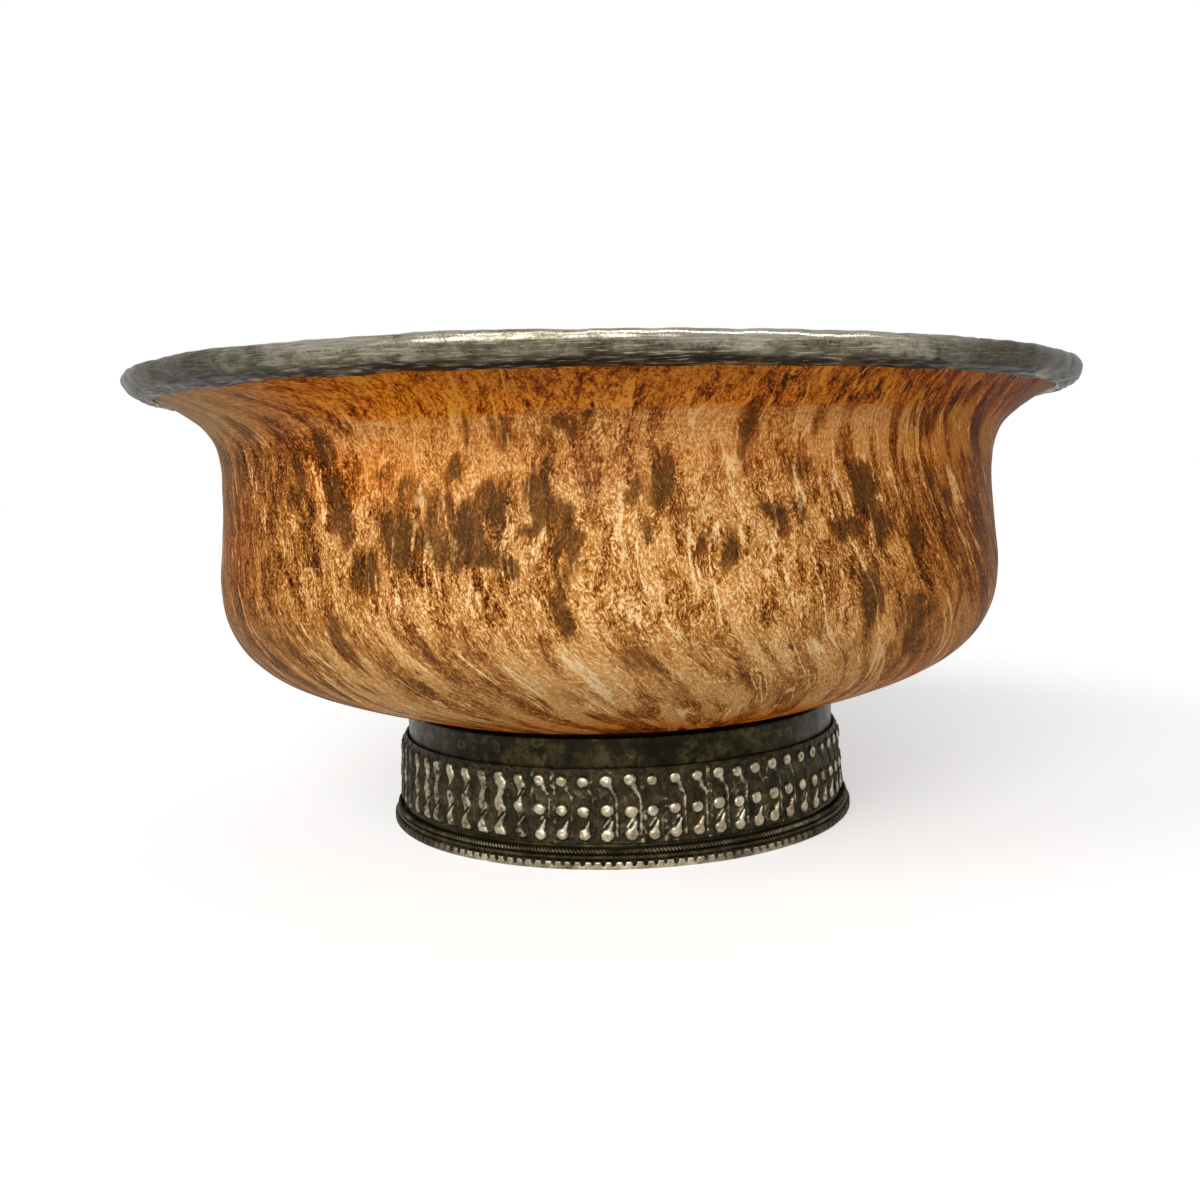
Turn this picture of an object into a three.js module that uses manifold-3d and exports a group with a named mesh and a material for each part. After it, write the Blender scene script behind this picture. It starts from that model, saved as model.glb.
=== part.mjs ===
// A turned burl-wood tea bowl with tarnished silver mounts: a hammered binding over the lip, a sheet lining, and a
// footed mount with a band of beaded relief. Millimetres, +Z up. The bowl stands on z = 0, its axis is the Z axis,
// and the side that is seen from the front faces -Y.

import * as THREE from 'three';
import { mergeGeometries, mergeVertices } from 'three/addons/utils/BufferGeometryUtils.js';
import Module from 'manifold-3d';

const wasm = await Module();
wasm.setup();

// Overall sizes
const rimRadius = 65;
const bowlHeight = 62.4;

// The wooden bowl, outside
const footHeight = 16.5; // where the wood meets the collar
const bellyRadius = 54.6;
const bellyRise = 18.7; // from there to the widest part of the belly
const neckWaist = 0.85; // how much narrower the neck is than the belly
const flareHeight = 14.6; // from the neck to the top
const undersideSlope = THREE.MathUtils.degToRad(18);
const flareSlope = THREE.MathUtils.degToRad(33);

// The wooden bowl, walls
const wallAtBelly = 4.4;
const wallAtNeck = 3.8;
const wallAtLip = 1.6;
const wallOverFoot = 4.3;
const wallUnderFloor = 10;
const floorFlatRadius = 9;

// Sheet metal and fits
const fitGap = 0.25; // between two turned pieces, one inside the other
const liningSheet = 0.5;
const panSheet = 0.5;

// The binding over the lip
const bindingSheet = 0.45;
const bindingEdge = 0.5; // its thickness at the lower edge outside
const bindingBulge = 1.3; // the extra metal hammered out at the widest point
const bindingWidestDrop = 1.05; // from the top to the widest point
const bindingOutsideReach = 1.25; // how far it comes down the outside of the flare
const bindingInsideReach = 3.4; // how far it comes down the inside

// The silver foot
const collarRadius = 31;
const collarWall = 0.6;
const lacThickness = 0.6;
const footFaceWidth = 4.8; // of the ring that the wooden foot stands on
const flangeThickness = 1;
const panDepth = 4; // of the recess under the foot
const panCorner = 1.2;
const panLift = 0.3; // of the pan's wall above the surface that the bowl is on
const upstandWall = 0.8;
const milledWidth = 1.2;
const milledHeight = 1.08;
const milledChamfer = 0.3;
const toothCount = 162;
const nickWidth = 0.7; // at the ring's outer top edge, between one tooth and the next
const nickDepth = 0.6; // across its top
const nickDrop = 0.6; // down its outside
const nickOvercut = 0.25; // how far the cutter runs past the metal
const plainWire = 0.56;
const plainWireInset = 0.35; // from the outside of the milled edge
const ropeWire = 0.74;
const ropeWireInset = 0.4;
const wireGap = 0.05; // between one wire and the next

// The relief on the band
const bandStep = 0.42; // from the twisted wire up to the band
const bandHeight = 9.4;
const bandSheetAtTop = 0.45;
const bandSheetAtBottom = 0.9;
const bandShoulder = 0.35;
const columnPitch = 2.87;
const beadRadius = 0.7;
const beadHeight = 0.5;
const ridgeWidth = 0.3;
const beadOffset = -0.3; // a column's beads lie left of its middle, and its ridge lies right
const ridgeOffset = 0.98;
const topBeadDrop = 1.45; // from the band's top edge to the top bead
const dropRise = 1.15; // from its bottom edge to the drop
const middleBeadSag = 0.4; // below halfway between them
const wornFrom = THREE.MathUtils.degToRad(-90); // here the columns are worn to wavy rods
const wornTo = THREE.MathUtils.degToRad(-18);
const flatness = 0.002; // faces this close to one plane become one face
const weld = 1e-4; // points this close are one point
const reliefRoot = 0.2; // how far each piece of relief reaches into the band
const reliefGap = 0.15; // between one piece of relief and the next
const beadSides = 6;
const beadShoulder = 0.73; // where a bead's side turns over, as a share of its radius and its height
const tailLength = 2.2; // of the drop
const tailStart = 0.6; // of the drop's radius from its middle
const tailSlope = THREE.MathUtils.degToRad(60);

// How finely things are turned
const aroundBowl = 32;
const aroundFoot = 32;
const teethToSide = 3; // teeth on each flat side of the milled ring
const wireSides = 6;

const silver = { metalness: 0.85, roughness: 0.5 };
const lookOf = {
  wood: { color: 0xa8651f, metalness: 0, roughness: 0.45 },
  rim: { color: 0x5f5f55, ...silver },
  lining: { color: 0x8c8a80, ...silver },
  darkSilver: { color: 0x35332a, ...silver },
  wornSilver: { color: 0x8f897d, ...silver },
  lac: { color: 0x3a2318, metalness: 0, roughness: 0.8 },
};

const point = (radius, height) => new THREE.Vector2(radius, height);

// A point that lies a distance away from another, in the direction of an angle above the horizontal.
function away(from, angle, distance) {
  return point(from.x + distance * Math.cos(angle), from.y + distance * Math.sin(angle));
}

// One smooth stretch of a profile from a to b. It leaves a at one angle and reaches b at another, and each end's
// fullness is the length of its tangent, as a share of the straight way from a to b.
function sweep(a, leaving, fullnessA, b, arriving, fullnessB, steps) {
  const chord = a.distanceTo(b);
  const curve = new THREE.CubicBezierCurve(
    a,
    away(a, leaving, fullnessA * chord),
    away(b, arriving, -fullnessB * chord),
    b
  );
  return curve.getPoints(steps);
}

// A round stretch of a profile about a centre, from one angle to another.
function arc(centre, radius, from, to, steps) {
  const points = [];
  for (let i = 0; i <= steps; i += 1) points.push(away(centre, from + ((to - from) * i) / steps, radius));
  return points;
}

// The same profile, moved sideways: to the left of its direction of travel.
function offset(points, distance) {
  return points.map((here, i) => {
    const before = points[Math.max(i - 1, 0)];
    const after = points[Math.min(i + 1, points.length - 1)];
    const along = after.clone().sub(before).normalize();
    return point(here.x - along.y * distance, here.y + along.x * distance);
  });
}

// A profile of radius and height, turned about the Z axis. It starts and ends on the axis, or closes on itself.
function turned(profile, segments) {
  const closed = profile[0].x === 0 ? profile : [...profile, profile[0]];
  return new THREE.LatheGeometry(closed, segments).rotateX(Math.PI / 2);
}

// A ring of rectangular section.
function ring(inner, outer, bottom, top) {
  return [point(inner, bottom), point(outer, bottom), point(outer, top), point(inner, top)];
}

// The same geometry with only its positions and its index.
function bareOf(geometry) {
  const bare = geometry.clone();
  bare.deleteAttribute('normal');
  bare.deleteAttribute('uv');
  return bare;
}

function toSolid(geometry) {
  const merged = mergeVertices(bareOf(geometry), weld);
  const vertProperties = new Float32Array(merged.attributes.position.array);
  const triVerts = new Uint32Array(merged.index.array);
  return new wasm.Manifold(new wasm.Mesh({ numProp: 3, vertProperties, triVerts }));
}

function toGeometry(solid) {
  const { vertProperties, triVerts } = solid.getMesh();
  const geometry = new THREE.BufferGeometry();
  geometry.setAttribute('position', new THREE.BufferAttribute(vertProperties, 3));
  geometry.setIndex(new THREE.BufferAttribute(triVerts, 1));
  return geometry;
}

function piece(name, geometry, look) {
  const mesh = new THREE.Mesh(geometry, new THREE.MeshStandardMaterial(look));
  mesh.name = name;
  return mesh;
}

const up = Math.PI / 2;

// Heights and radii that follow from the ones above
const bellyHeight = footHeight + bellyRise;
const neckRadius = bellyRadius - neckWaist;
const neckHeight = bowlHeight - flareHeight;
const collarInner = collarRadius - collarWall;
const woodFootRadius = collarInner - fitGap - lacThickness - fitGap;
const recessRadius = woodFootRadius - footFaceWidth;
const woodFootBottom = flangeThickness + fitGap;
const recessTop = panDepth + panSheet + fitGap;
const woodFloor = recessTop + wallUnderFloor;
const woodJoint = footHeight - (collarRadius - woodFootRadius) * Math.tan(undersideSlope);
const bandInner = collarRadius + fitGap;
const upstandRadius = bandInner + upstandWall;
const milledRadius = upstandRadius + fitGap + milledWidth;
const plainWireBottom = milledHeight + wireGap;
const ropeWireBottom = plainWireBottom + plainWire + wireGap;
const bandBottom = ropeWireBottom + ropeWire + bandStep;
const bandTop = bandBottom + bandHeight;
const bandGroundAtTop = bandInner + bandSheetAtTop;
const bandGroundAtBottom = bandInner + bandSheetAtBottom;
const bandMiddle = (bandGroundAtTop + bandGroundAtBottom) / 2;
const columnCount = Math.round((2 * Math.PI * bandMiddle) / columnPitch);
const topRow = bandTop - topBeadDrop;
const dropRow = bandBottom + dropRise;
const middleRow = (topRow + dropRow) / 2 - middleBeadSag;

// The lip of the wood is a half round, and its middle lies where the binding's sheet reaches the full height.
const lipRound = wallAtLip / 2;
const bindingRound = lipRound + fitGap + bindingSheet;
const lipCentre = point(rimRadius - bindingRound - bindingBulge, bowlHeight - bindingRound);

// The outside of the wood, from the collar up to the lip.
function woodOutside() {
  const start = point(collarRadius, footHeight);
  const belly = point(bellyRadius, bellyHeight);
  const neck = point(neckRadius, neckHeight);
  const lip = away(lipCentre, flareSlope - up, lipRound);
  return [
    ...sweep(start, undersideSlope, 0.42, belly, up, 0.43, 7),
    ...sweep(belly, up, 0.13, neck, up, 0.28, 2).slice(1),
    ...sweep(neck, up, 0.48, lip, flareSlope, 0.58, 5).slice(1),
  ];
}

// The inside of the wood, from the lip down to the middle of the floor.
function woodInside() {
  const lip = away(lipCentre, flareSlope + up, lipRound);
  const neck = point(neckRadius - wallAtNeck, neckHeight);
  const belly = point(bellyRadius - wallAtBelly, bellyHeight);
  const overFoot = away(point(collarRadius, footHeight), undersideSlope + up, wallOverFoot);
  const floor = point(floorFlatRadius, woodFloor);
  return [
    ...sweep(lip, flareSlope - Math.PI, 0.5, neck, -up, 0.45, 3),
    ...sweep(neck, -up, 0.3, belly, -up, 0.2, 1).slice(1),
    ...sweep(belly, -up, 0.43, overFoot, undersideSlope - Math.PI, 0.42, 4).slice(1),
    ...sweep(overFoot, undersideSlope - Math.PI, 0.4, floor, Math.PI, 0.4, 2).slice(1),
    point(0, woodFloor),
  ];
}

function woodBowl() {
  const tip = arc(lipCentre, lipRound, flareSlope - up, flareSlope + up, 3);
  return turned(
    [
      point(0, recessTop),
      point(recessRadius, recessTop),
      point(recessRadius, woodFootBottom),
      point(woodFootRadius, woodFootBottom),
      point(woodFootRadius, woodJoint),
      ...woodOutside(),
      ...tip.slice(1, -1),
      ...woodInside(),
    ],
    aroundBowl
  );
}

// The start of a line of points, up to a length along it, and the rest of it.
function cutAt(points, length) {
  const first = [points[0]];
  let left = length;
  let i = 1;
  while (left > points[i - 1].distanceTo(points[i])) {
    left -= points[i - 1].distanceTo(points[i]);
    first.push(points[i]);
    i += 1;
  }
  const cut = points[i - 1].clone().lerp(points[i], left / points[i - 1].distanceTo(points[i]));
  return [[...first, cut], [cut, ...points.slice(i)]];
}

// The lining follows the inside of the wood and butts against the binding.
function silverLining() {
  const [, below] = cutAt(woodInside(), bindingInsideReach + fitGap);
  const seat = offset(below, -fitGap);
  const face = offset(below, -fitGap - liningSheet);
  return turned([...seat.reverse(), ...face], aroundBowl);
}

// The binding is a rolled strip: thin inside and below, and hammered out to a heavy round edge.
function rimBinding() {
  const [outsideLeg] = cutAt(woodOutside().reverse(), bindingOutsideReach);
  const [insideLeg] = cutAt(woodInside(), bindingInsideReach);
  const bore = [
    ...offset(insideLeg, -fitGap).reverse(),
    ...arc(lipCentre, lipRound + fitGap, flareSlope + up, flareSlope - up, 3).slice(1, -1),
    ...offset(outsideLeg, fitGap),
  ];
  const insideFace = offset(insideLeg, -fitGap - bindingSheet);
  const lowerEdge = offset(outsideLeg, fitGap + bindingEdge).pop();
  const widest = point(rimRadius, bowlHeight - bindingWidestDrop);
  const top = point(lipCentre.x + bindingRound / 2, bowlHeight);
  const outsideFace = [
    ...sweep(lowerEdge, flareSlope / 2, 0.35, widest, up, 0.3, 3),
    ...sweep(widest, up, 0.35, top, Math.PI, 0.4, 3).slice(1),
    ...sweep(top, Math.PI, 0.3, insideFace[0], flareSlope - Math.PI, 0.3, 1).slice(1),
    ...insideFace.slice(1),
  ];
  return turned([...bore, ...outsideFace], aroundBowl);
}

function footCollar() {
  const top = footHeight - collarWall * Math.tan(undersideSlope) - fitGap;
  return turned(ring(collarInner, collarRadius, flangeThickness, top), aroundFoot);
}

function lacBedding() {
  const bedding = ring(woodFootRadius + fitGap, collarInner - fitGap, woodFootBottom, woodJoint - fitGap);
  return turned(bedding, aroundFoot);
}

// The flange lies under the foot and turns up round the collar.
function footFlange() {
  return turned(
    [
      point(recessRadius, 0),
      point(upstandRadius, 0),
      point(upstandRadius, bandBottom),
      point(bandInner, bandBottom),
      point(bandInner, flangeThickness),
      point(recessRadius, flangeThickness),
    ],
    aroundFoot
  );
}

// The pan is dished up into the recess, and its wall stands clear of the surface that the bowl is on.
function basePan() {
  const radius = recessRadius - fitGap;
  const corner = point(radius - panCorner, panDepth + panSheet - panCorner);
  return turned(
    [
      point(0, panDepth),
      ...arc(corner, panCorner - panSheet, up, 0, 2),
      point(radius - panSheet, panLift),
      point(radius, panLift),
      ...arc(corner, panCorner, 0, up, 2),
      point(0, panDepth + panSheet),
    ],
    aroundFoot
  );
}

function roundWire(inset, thickness, bottom) {
  const centre = point(milledRadius - inset - thickness / 2, bottom + thickness / 2);
  return turned(arc(centre, thickness / 2, -up, 3 * up, wireSides).slice(0, -1), aroundFoot);
}

// The cutter for one nick, in the frame of the ring's outer top edge: X outwards, Y along the edge and Z up. It is a
// wedge whose sharp edge runs from the wall below the edge to the top face behind it.
function nickCutter() {
  const floor = Math.hypot(nickDepth, nickDrop);
  const edgeToFloor = (nickDepth * nickDrop) / floor;
  const reach = edgeToFloor + nickOvercut;
  const half = ((nickWidth / 2) * reach) / edgeToFloor;
  const wedge = new THREE.Shape([point(0, 0), point(reach, -half), point(reach, half)]);
  return new THREE.ExtrudeGeometry(wedge, { depth: floor + 2 * nickOvercut, bevelEnabled: false })
    .translate(0, 0, -nickOvercut)
    .rotateY(-Math.atan2(nickDepth, nickDrop))
    .translate(milledRadius, 0, milledHeight - nickDrop);
}

// The milled edge: a ring with a nick across its outer top edge between one tooth and the next.
function milledEdge() {
  const inner = milledRadius - milledWidth;
  const edge = [
    point(inner, 0),
    point(milledRadius - milledChamfer, 0),
    point(milledRadius, milledChamfer),
    point(milledRadius, milledHeight),
    point(inner, milledHeight),
  ];
  const step = (2 * Math.PI) / toothCount;
  const nicks = [];
  for (let i = 0; i < toothCount; i += 1) nicks.push(nickCutter().rotateZ((i + 0.5) * step - up));
  const cut = toSolid(turned(edge, toothCount / teethToSide)).subtract(toSolid(mergeGeometries(nicks)));
  return toGeometry(cut);
}

// The relief's pieces are made in a column's own frame: X stands out of the band, Y runs to the right along it and
// Z runs up it. Each reaches a little into the band, so that the two join.

// A domed bead.
function bead(across, height, radius, rise) {
  const profile = [
    point(0, -reliefRoot),
    point(radius, -reliefRoot),
    point(radius * beadShoulder, rise * beadShoulder),
    point(0, rise),
  ];
  return new THREE.LatheGeometry(profile, beadSides).rotateZ(-up).translate(0, across, height);
}

// A stroke with a sharp crest that follows its stations, each with its place, its width and its rise.
function stroke(stations) {
  const positions = [];
  stations.forEach(([across, height, width, rise], i) => {
    const before = stations[Math.max(i - 1, 0)];
    const after = stations[Math.min(i + 1, stations.length - 1)];
    const along = point(after[0] - before[0], after[1] - before[1]).normalize();
    const halfAcross = (along.y * width) / 2;
    const halfUp = (-along.x * width) / 2;
    positions.push(-reliefRoot, across - halfAcross, height - halfUp);
    positions.push(rise, across, height);
    positions.push(-reliefRoot, across + halfAcross, height + halfUp);
  });
  const last = 3 * (stations.length - 1);
  const index = [0, 2, 1, last, last + 1, last + 2];
  for (let start = 0; start < last; start += 3) {
    for (let side = 0; side < 3; side += 1) {
      const a = start + side;
      const b = start + ((side + 1) % 3);
      index.push(a, b, a + 3, b, b + 3, a + 3);
    }
  }
  const geometry = new THREE.BufferGeometry();
  geometry.setAttribute('position', new THREE.Float32BufferAttribute(positions, 3));
  geometry.setIndex(index);
  return geometry;
}

// A drop: a bead with one corner drawn out into a tail, up and to the right.
function drop(across, height, radius, rise) {
  const geometry = mergeVertices(bareOf(bead(0, 0, radius, rise)), weld);
  const place = geometry.attributes.position;
  for (let i = 0; i < place.count; i += 1) {
    const alongTail = place.getY(i) * Math.cos(tailSlope) + place.getZ(i) * Math.sin(tailSlope);
    const pull = Math.max(0, alongTail / radius - tailStart) * tailLength;
    place.setY(i, place.getY(i) + pull * Math.cos(tailSlope));
    place.setZ(i, place.getZ(i) + pull * Math.sin(tailSlope));
  }
  return geometry.translate(0, across, height);
}

// A column with three rounds, a bead, a bead and a drop, and a hook that runs from below the first down to a ridge
// at the right.
function beadedColumn() {
  const hookTop = topRow - beadRadius - reliefGap;
  const hook = stroke([
    [beadOffset, hookTop, beadRadius, -reliefRoot / 2],
    [(beadOffset + ridgeOffset) / 2, hookTop - beadRadius, beadRadius, beadHeight * 0.7],
    [ridgeOffset, middleRow, ridgeWidth, beadHeight * 0.8],
    [ridgeOffset, dropRow - beadRadius, ridgeWidth, -reliefRoot / 2],
  ]);
  return mergeGeometries([
    bareOf(bead(beadOffset, topRow, beadRadius, beadHeight)),
    bareOf(bead(beadOffset, middleRow, beadRadius, beadHeight)),
    drop(beadOffset, dropRow, beadRadius, beadHeight),
    hook,
  ]);
}

// A column where wear has run the rounds together into one wavy rod.
function wornColumn() {
  const waist = beadRadius * 0.8;
  const swell = beadRadius * 1.7;
  return stroke([
    [-beadOffset, topRow + beadRadius, waist, -reliefRoot / 2],
    [beadOffset / 2, topRow - beadRadius / 2, swell, beadHeight * 0.9],
    [-beadOffset, (topRow + middleRow) / 2, waist, beadHeight * 0.8],
    [beadOffset, middleRow, swell, beadHeight],
    [-beadOffset, (middleRow + dropRow) / 2, waist, beadHeight * 0.8],
    [beadOffset / 2, dropRow, swell, beadHeight * 0.9],
    [0, dropRow - beadRadius, waist, -reliefRoot / 2],
  ]);
}

function ornamentBand() {
  const step = (2 * Math.PI) / columnCount;
  const strip = turned(
    [
      point(bandInner, bandBottom),
      point(bandGroundAtBottom, bandBottom),
      point(bandGroundAtTop, bandTop - bandShoulder),
      point(bandGroundAtTop - bandShoulder / 2, bandTop),
      point(bandInner, bandTop),
    ],
    columnCount
  );
  const lean = Math.atan((bandGroundAtTop - bandGroundAtBottom) / (bandTop - bandBottom));
  const middle = (bandBottom + bandTop) / 2;
  const flatMiddle = bandMiddle * Math.cos(step / 2);
  const kinds = { beaded: beadedColumn(), worn: wornColumn() };
  const relief = [];
  for (let i = 0; i < columnCount; i += 1) {
    const angle = (i + 0.5) * step;
    const fromFront = angle > Math.PI ? angle - 2 * Math.PI : angle;
    const kind = fromFront > wornFrom && fromFront < wornTo ? kinds.worn : kinds.beaded;
    const column = kind.clone();
    column.translate(0, 0, -middle);
    column.rotateY(lean);
    column.translate(flatMiddle, 0, middle);
    column.rotateZ(angle - up);
    relief.push(column);
  }
  const whole = toSolid(strip).add(toSolid(mergeGeometries(relief)));
  return toGeometry(whole.asOriginal().simplify(flatness));
}

const bowl = new THREE.Group();
bowl.add(piece('wood_bowl', woodBowl(), lookOf.wood));
bowl.add(piece('silver_lining', silverLining(), lookOf.lining));
bowl.add(piece('rim_binding', rimBinding(), lookOf.rim));
bowl.add(piece('lac_bedding', lacBedding(), lookOf.lac));
bowl.add(piece('foot_collar', footCollar(), lookOf.darkSilver));
bowl.add(piece('foot_flange', footFlange(), lookOf.darkSilver));
bowl.add(piece('base_pan', basePan(), lookOf.darkSilver));
bowl.add(piece('ornament_band', ornamentBand(), lookOf.wornSilver));
bowl.add(piece('plain_wire', roundWire(plainWireInset, plainWire, plainWireBottom), lookOf.wornSilver));
bowl.add(piece('rope_wire', roundWire(ropeWireInset, ropeWire, ropeWireBottom), lookOf.wornSilver));
bowl.add(piece('milled_edge', milledEdge(), lookOf.wornSilver));

export default bowl;
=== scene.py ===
# The looks of a turned burl-wood tea bowl with tarnished silver mounts. The frame holds its sizes and pieces.
# Lengths here are in millimetres, and become metres when a mesh is written. +Z is up, and the front faces -Y.

import math
from collections import namedtuple
from types import SimpleNamespace

import bpy
import numpy as np
from mathutils import Matrix, Vector


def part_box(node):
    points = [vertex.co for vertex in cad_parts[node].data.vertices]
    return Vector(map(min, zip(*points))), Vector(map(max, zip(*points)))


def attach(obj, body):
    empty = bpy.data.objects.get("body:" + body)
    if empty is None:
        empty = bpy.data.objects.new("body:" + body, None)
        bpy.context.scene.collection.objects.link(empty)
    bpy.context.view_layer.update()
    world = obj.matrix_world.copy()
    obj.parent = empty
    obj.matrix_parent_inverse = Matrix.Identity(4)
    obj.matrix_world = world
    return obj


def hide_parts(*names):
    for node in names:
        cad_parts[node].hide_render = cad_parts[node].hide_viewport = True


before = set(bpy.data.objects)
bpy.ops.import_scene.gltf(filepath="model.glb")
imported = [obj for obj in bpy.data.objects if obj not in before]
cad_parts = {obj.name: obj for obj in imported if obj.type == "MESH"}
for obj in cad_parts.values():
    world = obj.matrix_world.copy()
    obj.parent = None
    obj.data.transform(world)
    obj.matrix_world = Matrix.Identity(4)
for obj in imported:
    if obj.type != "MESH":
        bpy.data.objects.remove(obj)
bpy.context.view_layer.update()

MM = 0.001
TURN = 2 * math.pi

# The camera, as it stood before the bowl
PHOTO_SIDE = 1200  # pixels
FOCAL_PIXELS = 1248
SENSOR = 36
NEAR_CLIP = 0.01  # metres
FAR_CLIP = 20
CAMERA_PLACE = (0, -183.3, 48.39)
CAMERA_PITCH = math.radians(5.66)  # downwards
CAMERA_YAW = math.radians(-0.6)
CAMERA_ROLL = math.radians(-1.88)

# The long lamp box over the bowl, which only shows as a gleam on the metal. It lies from side to side.
SOFTBOX_ELEVATION = 66  # degrees above the front
SOFTBOX_HALF = 2  # degrees from its middle line to its edge
SOFTBOX_MIDDLE = 0.2  # where its middle stands to the right, and how far it reaches, both as sines
SOFTBOX_REACH = 0.5
SOFTBOX_BLUR = 1  # how softly its sides and its ends fade, in degrees and as a sine
SOFTBOX_END = 0.15
SOFTBOX_STRENGTH = 17.0

# The white world, as it lights the bowl and as it shows
SKY_LIGHT = 0.28
SKY_SHOWN = 1.0

# The floor
FLOOR_RADIUS = 4.0  # metres
FLOOR_SIDES = 128
FLOOR_HIDDEN = 0.6  # how far the foot covers its hole's edge
FLOOR_DROP = 0.01  # how far it lies below the foot
FLOOR_SHOWN = 0.8  # its white as it shows, how strongly it glows there, and its white as it lights the bowl
FLOOR_GLOW = 0.5
FLOOR_LIGHTING = 0.6

# How finely the pieces are turned
NEAR = 1e-3  # two points closer than this are one
UNLIKE_EDGES = 6  # an edge this many times as long as the next one stays straight
AROUND_WOOD = 512
AROUND_RIM = 900
AROUND_BAND = 1470
AROUND_WIRE = 900
AROUND_PLAIN = 360
WOOD_SPACING = 0.55  # between points of the wood's outline where it is wider than WIDE_RADIUS, and elsewhere
WIDE_RADIUS = 40
HIDDEN_SPACING = 3.0
RIM_SPACING = 0.16
BAND_SPACING = 0.14  # on the band's face, which lies outside BAND_FACE, and behind it
BAND_FACE = 31.6
BAND_BACK_SPACING = 1.2
WIRE_SPACING = 0.18
EDGE_SPACING = 0.13

# How far the bowl has moved to the right at some of its heights, and how steeply its lip leans
SHIFT_HEIGHTS = (0, 15, 22, 48, 56, 61, 63)
SHIFTS = (0.4, 0.4, -0.45, -0.4, 0.1, -0.75, -0.85)
LIP_TILT = 0.018

# The band's relief, which follows the frame's
COLUMN_COUNT = 70
COLUMN_SHIFT = math.radians(-0.5)
BAND_RADIUS = 31.9  # halfway through the relief
ROW_HEIGHTS = (4.05, 7.05, 10.85)  # of the drop, the middle bead and the top bead
BEAD_RADIUS = 0.86
BEAD_RISE = 0.5
WORN_FROM = math.radians(-96)  # where the worn columns begin and end
WORN_TO = math.radians(-17)

# The twisted wire and the milled edge
ROPE_STROKES = 440
STROKE_COLUMNS = 6  # points for a stroke along the wire, and points round the wire
ROPE_POINTS = 12
STRAND = 0.6  # a strand's radius, and how far it lies off the middle, as shares of the wire's radius
STRAND_OFFSET = 0.4
TOOTH_COUNT = 162
TOOTH_COLUMNS = 12  # points for a tooth
EDGE_WIDTH = 1.2  # how far in the ring's top goes
FOOT_BEVEL = 0.2  # of its outer edges, below and above
CREST_BEVEL = 0.15
NICK_HALF = 0.27  # a nick's half width, as a share of a tooth
NICK_DEPTH = 0.385  # how far in, and how far down, a nick goes
NICK_REACH = 0.75  # how far from the edge it ends


def smooth_step(low, high, value):
    """0 below low, 1 above high, and a smooth climb between them."""
    share = np.clip((value - low) / (high - low), 0, 1)
    return share * share * (3 - 2 * share)


def turn_step(low, high, angle):
    """The same climb over an angle, from low to high in degrees."""
    return smooth_step(math.radians(low), math.radians(high), angle)


def way_along(points):
    """How far along a line each of its points lies."""
    return np.concatenate([[0], np.cumsum(np.hypot(*np.diff(points, axis=0).T))])


def placed(name, data):
    """A new object in the scene."""
    thing = bpy.data.objects.new(name, data)
    bpy.context.scene.collection.objects.link(thing)
    return thing


# The frame's outlines

def section(node):
    """A turned CAD node's outline in the half plane through the bowl's front, as radius and height. It
    follows the edges of the node's mesh that lie in that plane, from the axis or from the lowest point, up
    the outside first."""
    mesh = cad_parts[node].data
    place = np.zeros(len(mesh.vertices) * 3, np.float32)
    mesh.vertices.foreach_get("co", place)
    place = place.reshape(-1, 3) / MM
    ends = np.zeros(len(mesh.edges) * 2, np.int32)
    mesh.edges.foreach_get("vertices", ends)
    ends = ends.reshape(-1, 2)
    in_front = (np.abs(place[:, 0]) < NEAR) & (place[:, 1] < NEAR)
    spots = np.round(np.stack([-place[:, 1], place[:, 2]], axis=1), 3) + 0.0
    neighbours = {}
    for start, end in ends[in_front[ends].all(axis=1)]:
        a, b = tuple(spots[start]), tuple(spots[end])
        if a != b:
            neighbours.setdefault(a, set()).add(b)
            neighbours.setdefault(b, set()).add(a)
    walk = [min(neighbours, key=lambda spot: (len(neighbours[spot]), spot[1], spot[0]))]
    while True:
        onward = [spot for spot in sorted(neighbours[walk[-1]]) if spot not in walk]
        if not onward:
            break
        walk.append(onward[-1])
    outline = np.array(walk)
    following = np.roll(outline, -1, axis=0)
    area = (outline[:, 0] * following[:, 1] - following[:, 0] * outline[:, 1]).sum()
    if area > 0:
        return outline
    return np.roll(outline[::-1], 1, axis=0) if outline[0, 0] > NEAR else outline[::-1]


def rounded(points, spacing):
    """A smooth line through the points. Its slope at each point is that of the straight way from the point
    before to the point after, and between two points it is the cubic that has both slopes."""
    along = way_along(points)
    if len(points) == 2:
        slope = np.repeat((points[1:] - points[:1]) / along[-1], 2, axis=0)
    else:
        slope = np.gradient(points, along, axis=0)
    steps = np.linspace(0, along[-1], max(2, int(round(along[-1] / spacing)) + 1))
    i = np.clip(np.searchsorted(along, steps, side="right") - 1, 0, len(points) - 2)
    span = (along[i + 1] - along[i])[:, None]
    t = (steps - along[i])[:, None] / span
    start = (2 * t**3 - 3 * t**2 + 1) * points[i] + (t**3 - 2 * t**2 + t) * span * slope[i]
    end = (3 * t**2 - 2 * t**3) * points[i + 1] + (t**3 - t**2) * span * slope[i + 1]
    return start + end


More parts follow.
